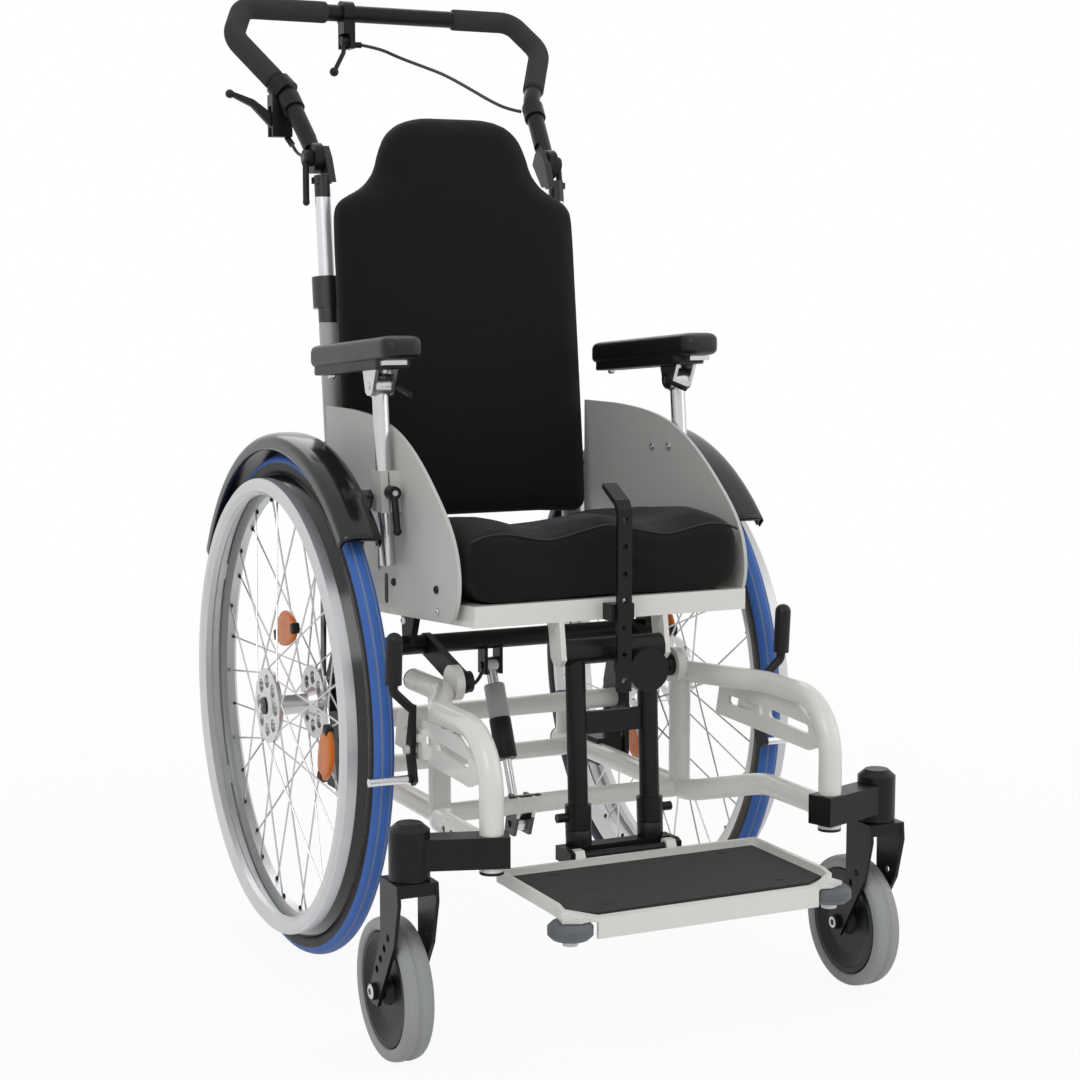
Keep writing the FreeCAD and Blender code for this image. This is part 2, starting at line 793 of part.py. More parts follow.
def seat_frame():
    parts = []
    y0 = seat_front_y - front_bar_depth / 2
    y1 = seat_rail_rear_y
    top = seat_front_top
    low = top - seat_rail_height
    outline = [(y0, slope_z(y0, low)), (y1, slope_z(y1, low)), (y1, slope_z(y1, top)), (y0, slope_z(y0, top))]
    for sign in (-1, 1):
        x0 = sign * seat_rail_inner
        x1 = sign * seat_rail_outer
        parts.append(yz_plate(outline, min(x0, x1), max(x0, x1)))
    y2 = y0 + front_bar_depth
    front = [(y0, slope_z(y0, low)), (y2, slope_z(y2, low)), (y2, slope_z(y2, top)), (y0, slope_z(y0, top))]
    parts.append(yz_plate(front, -seat_rail_outer, seat_rail_outer))
    back = [(y1 - 20, slope_z(y1 - 20, low)), (y1, slope_z(y1, low)), (y1, slope_z(y1, top)),
            (y1 - 20, slope_z(y1 - 20, top))]
    parts.append(yz_plate(back, -seat_rail_inner, seat_rail_inner))
    pan_top = top - 4
    pan = [(y0 + 4, slope_z(y0 + 4, pan_top - pan_thickness)),
           (y1 - 4, slope_z(y1 - 4, pan_top - pan_thickness)),
           (y1 - 4, slope_z(y1 - 4, pan_top)), (y0 + 4, slope_z(y0 + 4, pan_top))]
    parts.append(yz_plate(pan, -seat_rail_inner, seat_rail_inner))
    for sign in (-1, 1):
        hinge_inner = sign * recline_plate_inner
        hinge_outer = sign * seat_rail_inner
        plate = yz_plate([(y1 - 40, slope_z(y1 - 40, low)), (recline_y + 14, recline_z - 15),
                          (recline_y + 14, recline_z + 15), (recline_y, recline_z + 20),
                          (cushion_rear_y + 3, slope_z(cushion_rear_y + 3, top)),
                          (y1 - 40, slope_z(y1 - 40, top))],
                         min(hinge_inner, hinge_outer), max(hinge_inner, hinge_outer))
        parts.append(plate)
        bolt_end = sign * (back_tube_x + tube_radius)
        parts.append(x_rod(min(hinge_inner, bolt_end), max(hinge_inner, bolt_end), recline_y, recline_z,
                           recline_bolt_radius))
        ear_inner = sign * (leg_hub_half + touch)
        ear_outer = sign * (leg_hub_half + touch + leg_ear_thickness)
        ear = yz_plate([(y0, slope_z(y0, low)), (leg_pivot_y - 14, leg_pivot_z - 6),
                        (leg_pivot_y - 6, leg_pivot_z - 14),
                        (leg_pivot_y + 6, leg_pivot_z - 14), (leg_pivot_y + 14, leg_pivot_z - 6),
                        (y2 + 10, slope_z(y2 + 10, low))],
                       min(ear_inner, ear_outer), max(ear_inner, ear_outer))
        parts.append(ear)
    parts.append(box(-leg_hub_half - 6, leg_hub_half + 6, y2, y2 + 10, slope_z(y2, low),
                     slope_z(y2, low) + 8))
    pin_half = leg_hub_half + touch + leg_ear_thickness
    parts.append(x_rod(-pin_half, pin_half, leg_pivot_y, leg_pivot_z, leg_pin_radius))
    return fused(parts)


def tilt_yoke():
    # struts from the two pivots to a cross bar, with posts up to the seat rails
    strut = slot_cutter(strut_inner, strut_outer, (pivot_y, pivot_z), (crossbar_y, crossbar_z), 13)
    strut = strut.cut(x_rod(strut_inner - 1, strut_outer + 1, pivot_y, pivot_z, pivot_bolt_radius + fit))
    low = seat_front_top - seat_rail_height
    post_outline = [(crossbar_y - 10, crossbar_z), (crossbar_y + 10, crossbar_z),
                    (crossbar_y + 14, slope_z(crossbar_y + 14, low)),
                    (crossbar_y - 26, slope_z(crossbar_y - 26, low))]
    post = yz_plate(post_outline, seat_rail_inner + 2, seat_rail_inner + 10)
    bar = x_rod(-crossbar_half, crossbar_half, crossbar_y, crossbar_z, crossbar_radius)
    gap = spring_eye_half + 0.5
    cheeks = []
    for sign in (-1, 1):
        near = spring_x + sign * gap
        far = spring_x + sign * (gap + 4)
        outline = [(spring_top_y - 10, spring_top_z - 10), (spring_top_y + 10, spring_top_z - 10),
                   (crossbar_y + 10, crossbar_z), (crossbar_y - 10, crossbar_z)]
        cheeks.append(yz_plate(outline, min(near, far), max(near, far)))
    pin = x_rod(spring_x - gap - 6, spring_x + gap + 6, spring_top_y, spring_top_z, spring_pin_radius)
    return fused([bar, strut, mirrored(strut), post, mirrored(post), pin] + cheeks)


def side_panel():
    # clothes guard with a curved front edge and two adjusting slots
    x0 = panel_inner
    x1 = panel_inner + panel_thickness
    plain = [V(x0, 60, 645), V(x0, 60, 425), V(x0, -250, 428), V(x0, -318, 432)]
    edges = [Part.LineSegment(a, b).toShape() for a, b in zip(plain[:-1], plain[1:])]
    front = [V(x0, -318, 432), V(x0, -338, 470), V(x0, -330, 510), V(x0, -284, 560), V(x0, -240, 592),
             V(x0, -170, 626), V(x0, -100, 640), V(x0, -16, 645)]
    curve = Part.BSplineCurve()
    curve.interpolate(front)
    edges.append(curve.toShape())
    edges.append(Part.LineSegment(front[-1], plain[0]).toShape())
    panel = Part.Face(Part.Wire(edges)).extrude(V(x1 - x0, 0, 0))
    cuts = [
        slot_cutter(x0 - 1, x1 + 1, (-112, 470), (-112, 498), 4.5),
        slot_cutter(x0 - 1, x1 + 1, (-60, 470), (-60, 498), 4.5),
    ]
    # the recline bolt and the seat rail are reached through a round hole
    cuts.append(x_rod(x0 - 1, x1 + 1, recline_y - 14, recline_z + 24, 6))
    return panel.cut(cuts)


def panel_spacer():
    # blocks between the seat rail and the clothes guard
    blocks = []
    for y in (-270, -20):
        low = slope_z(y, seat_front_top - seat_rail_height) + 4
        blocks.append(box(seat_rail_outer, panel_inner, y - 12, y + 12, low, low + 14))
    return blocks


def post_point(z):
    return V(post_x, post_base_y + (z - post_base_z) * post_lean, z)


def armrest_holder():
    # a split block on the clothes guard that grips the armrest post
    x0 = panel_inner + panel_thickness
    low = post_point(holder_bottom)
    high = post_point(holder_top)
    outline = [(low.y - 15, holder_bottom), (low.y + 15, holder_bottom), (high.y + 15, holder_top),
               (high.y - 15, holder_top)]
    block = yz_plate(outline, x0, post_x + 9.8)
    bore = rod(post_point(holder_bottom - 20), post_point(holder_top + 20), post_radius + fit)
    lever_y = low.y - 15
    slit = box(post_x - 1.2, post_x + 1.2, lever_y - 12, lever_y + 12, holder_bottom - 1, holder_top + 1)
    pin_z = (holder_bottom + holder_top) / 2
    lever_pin = rod(V(post_x, lever_y - 16, pin_z), V(post_x, lever_y + 3, pin_z), 3)
    return block.cut([bore, slit]).fuse(lever_pin.cut(bore))


def armrest_post():
    tube = rod(post_point(post_bottom_z), post_point(hub_z), post_radius)
    bore = rod(post_point(post_bottom_z), post_point(hub_z - 30), post_radius - 2)
    hub_centre = post_point(hub_z)
    hub_block = x_rod(post_x - post_radius, post_x + post_radius, hub_centre.y, hub_z, hub_radius)
    body = tube.cut(bore).fuse(hub_block)
    pin = x_rod(post_x - 16, post_x + 14, hub_centre.y, hub_z, 4)
    return body.fuse(pin)


def pad_z(y):
    hub_y = post_point(hub_z).y
    return pad_bottom_at_hub + (hub_y - y) * math.tan(radians(pad_slope_deg))


def pad_bracket():
    # plate under the pad with two ears that hinge on the post head
    hub_y = post_point(hub_z).y
    y0 = pad_front_y + 40
    y1 = pad_rear_y - 46
    plate = yz_plate([(y0, pad_z(y0) - bracket_thickness), (y1, pad_z(y1) - bracket_thickness),
                      (y1, pad_z(y1)), (y0, pad_z(y0))], post_x - 12, post_x + 14)
    ears = []
    for sign in (-1, 1):
        near = post_x + sign * (post_radius + touch)
        far = post_x + sign * (post_radius + touch + 4)
        ear = yz_plate([(hub_y - 10, hub_z - 8), (hub_y - 4, hub_z - 11), (hub_y + 4, hub_z - 11),
                        (hub_y + 10, hub_z - 8), (hub_y + 20, pad_z(hub_y + 20) - 2),
                        (hub_y - 26, pad_z(hub_y - 26) - 2)],
                       min(near, far), max(near, far))
        ears.append(ear)
    body = fused([plate] + ears)
    return body.cut(x_rod(post_x - 20, post_x + 20, hub_y, hub_z, 4 + fit))


def armrest_pad():
    # moulded pad: a rounded section lofted along its length, with drawn-in ends
    sections = []
    stations = [(0.0, 0.62, 0.55), (0.035, 0.86, 0.8), (0.12, 1.0, 1.0), (0.5, 1.0, 1.0), (0.88, 1.0, 1.0),
                (0.965, 0.86, 0.8), (1.0, 0.62, 0.55)]
    length = pad_rear_y - pad_front_y
    for share, width_share, height_share in stations:
        y = pad_front_y + share * length
        half = pad_half_width * width_share
        low = pad_z(y)
        high = low + pad_thickness * height_share
        r = 7.0 * min(width_share, height_share)
        outline = [
            V(pad_x - half, y, low + 1), V(pad_x - half + 2, y, low), V(pad_x + half - 2, y, low),
            V(pad_x + half, y, low + 1), V(pad_x + half, y, high - r), V(pad_x + half - r, y, high - 1.2),
            V(pad_x, y, high), V(pad_x - half + r, y, high - 1.2), V(pad_x - half, y, high - r),
        ]
        sections.append(Part.makePolygon(outline + [outline[0]]))
    return Part.makeLoft(sections, True, True)


def height_lever():
    # clamp handle in front of the armrest holder
    pin_z = (holder_bottom + holder_top) / 2
    y = post_point(holder_bottom).y - 15
    boss = rod(V(post_x, y - 14, pin_z), V(post_x, y - touch, pin_z), 7.5)
    arm = rod(V(post_x, y - 11, pin_z), V(post_x, y - 20, pin_z - 42), 4)
    tip = Part.makeSphere(5, V(post_x, y - 20, pin_z - 42))
    pin = rod(V(post_x, y - 30, pin_z), V(post_x, y + 10, pin_z), 3 + fit)
    return fused([boss, arm, tip]).cut(pin)


def angle_lever():
    # clamp handle on the inner end of the armrest hinge pin
    hub_y = post_point(hub_z).y
    x1 = post_x - post_radius - 4 - 2 * touch
    boss = x_rod(x1 - 3, x1, hub_y, hub_z, 8)
    start = V(x1 - 3, hub_y, hub_z)
    along = V(0, -46, -8)
    along.normalize()
    arm = rod(start, start + along * 30, 1.5)
    grip = rod(start + along * 14, start + along * 50, 3)
    pin = x_rod(post_x - 30, post_x, hub_y, hub_z, 4 + fit)
    return fused([boss, arm, grip]).cut(pin)


def pommel_bar():
    # perforated flat bar in front of the cushion, its top bent back over it
    y = seat_front_y - front_bar_depth / 2 - 20
    thick = 5.0
    half = 8.5
    outline = [
        (y - thick, 354), (y, 354), (y, 548), (y + 6, 556), (y + 34, 572), (y + 32, 577), (y + 2, 561),
        (y - thick, 551),
    ]
    bar = yz_plate(outline, -half, half)
    for step in range(7):
        z = 366 + 29 * step
        bar = bar.cut(rod(V(0, y - thick - 1, z), V(0, y + 1, z), 3.2))
    block = box(-14, 14, y, seat_front_y - front_bar_depth / 2, seat_front_top - 22, seat_front_top - 4)
    return fused([bar, block])


def cushion_section(y, half, low, side_high, trough, pommel):
    # one cross-section of the seat cushion: raised edges, two leg troughs, raised middle
    pts = [
        V(-half * 0.9, y, low), V(half * 0.9, y, low), V(half, y, low + 12), V(half, y, side_high - 14),
        V(half * 0.9, y, side_high), V(half * 0.78, y, side_high - 1), V(half * 0.46, y, trough),
        V(half * 0.2, y, pommel - 4), V(0, y, pommel), V(-half * 0.2, y, pommel - 4),
        V(-half * 0.46, y, trough),
        V(-half * 0.78, y, side_high - 1), V(-half * 0.9, y, side_high), V(-half, y, side_high - 14),
        V(-half, y, low + 12),
    ]
    return Part.makePolygon(pts + [pts[0]])


def seat_cushion():
    # lofted from front to rear over the sloping pan, drawn in at both ends
    w = cushion_half_width
    front = seat_front_y - 6
    rear = cushion_rear_y
    length = rear - front
    base = seat_front_top + cushion_rest_gap
    rows = [
        (0.0, 0.93, 70, 56, 66), (0.05, 0.985, 86, 70, 84), (0.2, 1.0, 92, 72, 84), (0.5, 1.0, 90, 66, 72),
        (0.8, 1.0, 86, 62, 64), (0.96, 0.985, 80, 60, 62), (1.0, 0.93, 66, 52, 54),
    ]
    sections = []
    for share, width, side, trough, middle in rows:
        y = front + share * length
        low = slope_z(y, base)
        sections.append(cushion_section(y, w * width, low, low + side, low + trough, low + middle))
    return Part.makeLoft(sections, True, True)


# backrest
def lean_point(x, z, forward=0.0):
    return V(x, recline_y + (z - recline_z) * back_lean - forward, z)


def back_frame():
    parts = []
    bores = []
    for sign in (-1, 1):
        x = sign * back_tube_x
        parts.append(rod(lean_point(x, back_tube_bottom), lean_point(x, back_tube_top), tube_radius))
        collar_base = lean_point(x, back_tube_top - collar_height + 12, -collar_offset)
        parts.append(rod(collar_base, lean_point(x, back_tube_top + 12, -collar_offset), collar_radius))
        knob = lean_point(x, back_tube_top - 6)
        parts.append(rod(knob, V(knob.x, knob.y + 26, knob.z), 6))
        bores.append(rod(lean_point(x, stem_tube_bottom - 60), lean_point(x, back_tube_top + 40),
                         bar_stem_radius() + fit))
        bores.append(x_rod(x - 20, x + 20, recline_y, recline_z, recline_bolt_radius + fit))
    for z in (530, 700):
        a = lean_point(-back_tube_x, z, -9)
        b = lean_point(back_tube_x, z, -9)
        parts.append(rod(a, b, 8))
    body = fused(parts)
    return body.cut(bores)


def bar_stem_radius():
    return tube_radius - back_tube_wall


def push_stems():
    parts = []
    for sign in (-1, 1):
        x = sign * back_tube_x
        top = lean_point(x, bar_hinge_z - 22)
        parts.append(rod(lean_point(x, stem_tube_bottom), top, bar_stem_radius()))
        side_x = sign * (back_tube_x - bar_hinge_half)
        x0 = min(side_x, side_x - sign * 9)
        x1 = max(side_x, side_x - sign * 9)
        head = yz_plate([(top.y - 11, top.z - 8), (top.y + 11, top.z - 8), (bar_hinge_y + 16, bar_hinge_z),
                         (bar_hinge_y + 8, bar_hinge_z + 15), (bar_hinge_y - 8, bar_hinge_z + 15),
                         (bar_hinge_y - 20, bar_hinge_z)], x0, x1)
        foot = box(x - 9.5, x + 9.5, top.y - 9, top.y + 11, top.z - 10, top.z - 2)
        parts.append(head)
        parts.append(foot)
        bolt_end = sign * (back_tube_x + 16)
        parts.append(x_rod(min(side_x - sign * 9, bolt_end), max(side_x - sign * 9, bolt_end), bar_hinge_y,
                           bar_hinge_z,
                           bar_bolt_radius))
    halves = []
    for sign in (-1, 1):
        group = [p for p in parts if p.BoundBox.Center.x * sign > 0]
        halves.append(fused(group))
    return halves


def bar_points(sign):
    return [
        V(sign * 159, bar_hinge_y + 10, bar_hinge_z + 12),
        V(sign * 170, 212, 1030),
        V(sign * 216, 282, 1104),
        V(sign * 190, bar_top_y, bar_top_z),
    ]


def push_bar_line():
    left = bar_points(-1)
    right = bar_points(1)
    return left + right[::-1], [60, 38, 24, 24, 38, 60]


def push_bar():
    points, bends = push_bar_line()
    tube = swept(points, bends, bar_tube_radius)
    parts = [tube]
    for sign in (-1, 1):
        x0 = sign * (back_tube_x - bar_hinge_half + touch)
        x1 = sign * (back_tube_x + bar_hinge_half)
        disc = x_rod(min(x0, x1), max(x0, x1), bar_hinge_y, bar_hinge_z, bar_hinge_radius)
        parts.append(disc)
        mid = points[1] if sign < 0 else points[-2]
        nxt = points[0] if sign < 0 else points[-1]
        along = mid - nxt
        along.normalize()
        parts.append(rod(mid - along * 30, mid - along * 8, bar_tube_radius + 3))
    body = fused(parts)
    for sign in (-1, 1):
        x0 = sign * (back_tube_x - 30)
        x1 = sign * (back_tube_x + 30)
        body = body.cut(x_rod(min(x0, x1), max(x0, x1), bar_hinge_y, bar_hinge_z, bar_bolt_radius + fit))
        near = sign * (back_tube_x - bar_hinge_half + touch)
        far = sign * (back_tube_x - 30)
        body = body.cut(x_rod(min(near, far), max(near, far), bar_hinge_y, bar_hinge_z,
                              bar_hinge_radius + 14))
    return body


def foam_run(points, bends, near, far):
    # a soft sleeve over part of the bar, cut from the whole tube's sleeve by planes at x = near and far
    sleeve = swept(points, bends, bar_foam_radius)
    core = swept(points, bends, bar_tube_radius)
    keep = box(min(near, far), max(near, far), bar_hinge_y, bar_top_y + 40, bar_hinge_z, bar_top_z + 40)
    return sleeve.common(keep).cut(core)


def push_bar_foam():
    # the sleeve starts above each collar and ends short of the bare middle of the bar
    points, bends = push_bar_line()
    collar = bar_points(1)[1]
    ends = []
    for sign, stop in ((-1, foam_gap_left), (1, foam_gap_right)):
        start = V(sign * collar.x, collar.y, collar.z)
        following = bar_points(sign)[2]
        along = following - start
        along.normalize()
        sleeve = foam_run(points, bends, stop, sign * (bar_points(1)[2].x + 40))
        square = Part.makeBox(120, 120, 120, V(-60, -60, -120))
        place = FreeCAD.Placement(start + along * 22, FreeCAD.Rotation(V(0, 0, 1), along))
        square.Placement = place
        ends.append(sleeve.cut(square))
    return ends


def lever_clamps():
    # mounts for the tilt lever on the cross part and for the brake lever on the left arm
    x = tilt_lever_x
    ring = x_rod(x - 8, x + 8, bar_top_y, bar_top_z, bar_tube_radius + 5)
    body = box(x - 8, x + 8, bar_top_y - 13, bar_top_y + 9, bar_top_z - 46, bar_top_z - 8)
    stub = x_rod(x + 8, x + 20, bar_top_y - 2, bar_top_z - 40, 4)
    tilt = fused([ring, body, stub])
    tilt = tilt.cut(x_rod(x - 9, x + 9, bar_top_y, bar_top_z, bar_tube_radius))
    pivot = tilt_lever_pivot()
    tilt = tilt.cut(box(x - 9, x + 1, pivot.y - 9, pivot.y + 9, pivot.z - 16, pivot.z + 9))
    tilt = tilt.fuse(x_rod(x - 9, x + 1, pivot.y, pivot.z, 2.5))
    start, along = brake_mount()
    clamp = rod(start - along * 9, start + along * 9, bar_tube_radius + 6)
    clamp = clamp.cut(rod(start - along * 10, start + along * 10, bar_tube_radius))
    pivot = brake_lever_pivot()
    housing = box(pivot.x - 12, pivot.x + 14, pivot.y - 10, pivot.y + 10, pivot.z - 12, start.z - 8)
    housing = housing.cut(swept(*push_bar_line(), bar_tube_radius))
    housing = housing.cut(box(pivot.x - 20, pivot.x + 9, pivot.y - 5, pivot.y + 5, pivot.z - 13,
                              pivot.z + 26))
    pin = rod(V(pivot.x, pivot.y - 10, pivot.z), V(pivot.x, pivot.y + 10, pivot.z), 2.5)
    stub = rod(V(pivot.x + 10, pivot.y, pivot.z - 12), V(pivot.x + 15, pivot.y - 6, pivot.z - 22), 4)
    brake = fused([clamp, housing, pin, stub])
    return [tilt, brake]


def tilt_lever_pivot():
    return V(tilt_lever_x - 3, bar_top_y - 4, bar_top_z - 36)


def tilt_lever():
    # short ball-ended handle that releases the gas spring
    pivot = tilt_lever_pivot()
    boss = x_rod(tilt_lever_x - 8.7, tilt_lever_x + 0.7, pivot.y, pivot.z, 6)
    knee = V(tilt_lever_x - 9, pivot.y - 10, pivot.z - 16)
    ball = V(tilt_lever_x - 24, pivot.y - 14, pivot.z - 42)
    arm = swept([V(tilt_lever_x - 5, pivot.y, pivot.z), knee, ball], [8], 3)
    body = fused([boss, arm, Part.makeSphere(6, ball, ball - knee)])
    return body.cut(x_rod(tilt_lever_x - 12, tilt_lever_x + 6, pivot.y, pivot.z, 2.5 + fit))


def brake_mount():
    # where the brake lever clamps the left arm of the bar, and the arm's direction there
    lower = bar_points(-1)[1]
    upper = bar_points(-1)[2]
    along = upper - lower
    along.normalize()
    return lower + along * 8, along


def brake_lever_pivot():
    start, along = brake_mount()
    return V(start.x - 4, start.y + 2, start.z - 48)


def brake_lever():
    # bicycle-style blade that sweeps out to the side, with a ball tip
    pivot = brake_lever_pivot()
    outline = [
        V(pivot.x + 5, 0, pivot.z - 5), V(pivot.x + 5, 0, pivot.z + 5), V(pivot.x - 8, 0, pivot.z + 15),
        V(pivot.x - 34, 0, pivot.z + 33), V(pivot.x - 62, 0, pivot.z + 42), V(pivot.x - 62, 0, pivot.z + 36),
        V(pivot.x - 36, 0, pivot.z + 24), V(pivot.x - 16, 0, pivot.z + 4), V(pivot.x - 6, 0, pivot.z - 6),
    ]
    face = polygon([V(p.x, pivot.y - 4, p.z) for p in outline])
    blade = face.extrude(V(0, 8, 0))
    tip = Part.makeSphere(5.5, V(pivot.x - 64, pivot.y, pivot.z + 39), V(-1, 0, 0))
    body = fused([blade, tip])
    return body.cut(rod(V(pivot.x, pivot.y - 8, pivot.z), V(pivot.x, pivot.y + 8, pivot.z), 2.5 + fit))


def cam_lever():
    # quick-release handle on the outer end of the bar's hinge bolt, drawn on the right
    x0 = back_tube_x + bar_hinge_half + touch
    boss = x_rod(x0, x0 + 9, bar_hinge_y, bar_hinge_z, 10)
    start = V(x0 + 7, bar_hinge_y - 2, bar_hinge_z)
    end = V(x0 + 9, bar_hinge_y - 8, bar_hinge_z - 54)
    arm = rod(start, end, 4)
    tip = Part.makeSphere(4.4, end)
    body = fused([boss, arm, tip])
    return body.cut(x_rod(x0 - 1, x0 + 20, bar_hinge_y, bar_hinge_z, bar_bolt_radius + fit))


def spring_line():
    top = V(spring_x, spring_top_y, spring_top_z)
    bottom = V(spring_x, spring_bottom_y, spring_bottom_z)
    along = bottom - top
    along.normalize()
    return top, bottom, along


def spring_cylinder():
    # gas spring body, hung from the seat's cross bar
    top, bottom, along = spring_line()
    body = rod(top + along * 24, top + along * spring_length, spring_radius)
    eye = x_rod(spring_x - spring_eye_half, spring_x + spring_eye_half, spring_top_y, spring_top_z,
                spring_eye_radius)
    neck = rod(top + along * 2, top + along * 26, 6.5)
    whole = fused([body, eye, neck])
    whole = whole.cut(x_rod(spring_x - 10, spring_x + 10, spring_top_y, spring_top_z,
                            spring_pin_radius + fit))
    return whole.cut(rod(top + along * 48, top + along * (spring_length + 1), spring_rod_radius + fit))


def spring_rod():
    # polished rod with its lower eye, which has the clearance of a rubber bush
    top, bottom, along = spring_line()
    shaft = rod(top + along * 92, bottom - along * 6, spring_rod_radius)
    eye = x_rod(spring_x - spring_eye_half, spring_x + spring_eye_half, spring_bottom_y, spring_bottom_z,
                spring_eye_radius)
    whole = fused([shaft, eye])
    clearance = spring_pin_radius + spring_open_clearance
    return whole.cut(x_rod(spring_x - 10, spring_x + 10, spring_bottom_y, spring_bottom_z, clearance))


def back_cushion():
    # lofted upwards: body with shoulders, then a narrower rounded head section
    rows = [
        (503, 0.90, 30, 0.0), (511, 0.97, 42, 1.0), (560, 1.0, 46, 2.0), (700, 1.0, 46, 2.0),
        (850, 1.0, 46, 2.0),
        (886, 0.985, 44, 2.0), (899, 0.90, 40, 1.0), (910, 0.70, 38, 1.0), (935, 0.615, 38, 1.0),
        (970, 0.565, 38, 1.0), (990, 0.48, 32, 0.0), (1000, 0.32, 20, 0.0),
    ]
    sections = []
    for z, share, thick, crown in rows:
        half = back_cushion_half * share
        centre = lean_point(0, z, tube_radius + back_rest_gap - back_inset + back_cushion_depth / 2)
        near = centre.y + thick / 2 - back_inset
        far = centre.y - thick / 2
        side = min(12.0, thick / 3)
        pts = [
            V(-half + side, near, z), V(half - side, near, z), V(half, near - side * 0.7, z),
            V(half, far + side, z), V(half - side, far + 2, z), V(half * 0.5, far - crown, z),
            V(0, far - crown * 1.5, z), V(-half * 0.5, far - crown, z), V(-half + side, far + 2, z),
            V(-half, far + side, z), V(-half, near - side * 0.7, z),
        ]
        sections.append(Part.makePolygon(pts + [pts[0]]))
    return Part.makeLoft(sections, True, True)


def brake_body():
    # pivot boss of the parking brake, bolted through the slotted plate
    x0 = front_half_width + 1.0 + brake_rail_thickness
    plate = yz_plate([(-322, 288), (-280, 284), (-270, 300), (-276, 318), (-318, 320)], x0, x0 + 5)
    pin = x_rod(x0, x0 + 18, brake_pivot_y, brake_pivot_z, 5)
    bolts = [x_rod(x0, x0 + 8, y, z, 4.5) for y, z in ((-313, 310), (-281, 308))]
    return fused([plate, pin] + bolts)


def parking_brake():
    # hand lever, and the pin that it presses on the tyre
    x0 = front_half_width + 1.0 + brake_rail_thickness + 8 + touch
    x1 = x0 + 5
    outline = [
        (brake_pivot_y - 9, brake_pivot_z - 4), (brake_pin_y - 8, brake_pin_z - 2),
        (brake_pin_y, brake_pin_z - 8),
        (brake_pin_y + 8, brake_pin_z - 2), (brake_pivot_y + 9, brake_pivot_z - 4),
        (brake_pivot_y + 6, brake_pivot_z + 9),
        (brake_pivot_y - 4, brake_pivot_z + 50), (brake_pivot_y - 12, brake_pivot_z + 50),
    ]
    arm = yz_plate(outline, x0, x1)
    arm = arm.cut(x_rod(x0 - 1, x1 + 1, brake_pivot_y, brake_pivot_z, 5 + fit))
    pin = x_rod(x0, brake_pin_end, brake_pin_y, brake_pin_z, brake_pin_radius)
    bend = [
        V((x0 + x1) / 2, brake_pivot_y - 8, brake_pivot_z + 44), V(brake_grip_x, brake_pivot_y - 10,
                                                                   brake_pivot_z + 66),
        V(brake_grip_x, brake_pivot_y - 14, brake_pivot_z + 118),
    ]
    handle = swept(bend, [8], 5)
    grip = rod(V(brake_grip_x, brake_pivot_y - 10.6, brake_pivot_z + 74), bend[2] + V(0, 0, 3), 9)
    end = Part.makeSphere(9, bend[2] + V(0, 0, 3))
    return [fused([arm, pin, handle]).cut([grip, end]), fused([grip, end])]


# leg rest and footplate
def leg_line(sign, z):
    share = (leg_pivot_z - z) / (leg_pivot_z - leg_inner_bottom)
    return V(sign * leg_x, leg_pivot_y + (leg_bottom_y - leg_pivot_y) * share, z)


def leg_hanger():
    # hub that swings on the seat's pin, with two outer tubes, a knuckle and clamp collars
    hub_tube = x_rod(-leg_hub_half, leg_hub_half, leg_pivot_y, leg_pivot_z, leg_hub_radius)
    parts = [hub_tube]
    for sign in (-1, 1):
        parts.append(rod(leg_line(sign, leg_pivot_z), leg_line(sign, leg_tube_bottom), leg_tube_radius))
        parts.append(rod(leg_line(sign, leg_tube_bottom), leg_line(sign, leg_tube_bottom + 26),
                         leg_tube_radius + 3.5))
        knob = leg_line(sign, leg_tube_bottom + 13)
        parts.append(rod(knob, V(knob.x + sign * 26, knob.y, knob.z), 5))
    knuckle_at = leg_line(1, leg_pivot_z - 22)
    parts.append(rod(V(knuckle_at.x - 10, knuckle_at.y - 24, knuckle_at.z),
                     V(knuckle_at.x - 10, knuckle_at.y + 14, knuckle_at.z), 24))
    parts.append(box(-leg_x, leg_x, leg_pivot_y - 7, leg_pivot_y + 1, leg_pivot_z - 90, leg_pivot_z - 66))
    body = fused(parts)
    bores = [x_rod(-leg_hub_half - 1, leg_hub_half + 1, leg_pivot_y, leg_pivot_z, leg_pin_radius + fit)]
    for sign in (-1, 1):
        bores.append(rod(leg_line(sign, leg_tube_bottom - 5), leg_line(sign, leg_inner_top + 12),
                         leg_inner_radius + fit))
    return body.cut(bores)


def leg_slides():
    # inner tubes joined at the foot by the footplate's hinge block
    parts = []
    for sign in (-1, 1):
        parts.append(rod(leg_line(sign, leg_inner_bottom), leg_line(sign, leg_inner_top), leg_inner_radius))
    y = leg_bottom_y
    block_half = flip_ear_x + 6
    block = box(-block_half, block_half, y - 9, y + 9, leg_inner_bottom - 12, leg_inner_bottom + 4)
    parts.append(block)
    for sign in (-1, 1):
        near = sign * flip_ear_x
        far = sign * (flip_ear_x + 6)
        parts.append(yz_plate([(y, leg_inner_bottom - 12), (flip_y - 8, flip_z - 8), (flip_y - 8, flip_z + 6),
                               (flip_y, flip_z + 9), (y, leg_inner_bottom + 4)], min(near, far), max(near,
                                                                                                     far)))
    parts.append(x_rod(-flip_ear_x - 6, flip_ear_x + 6, flip_y, flip_z, flip_pin_radius))
    return fused(parts)


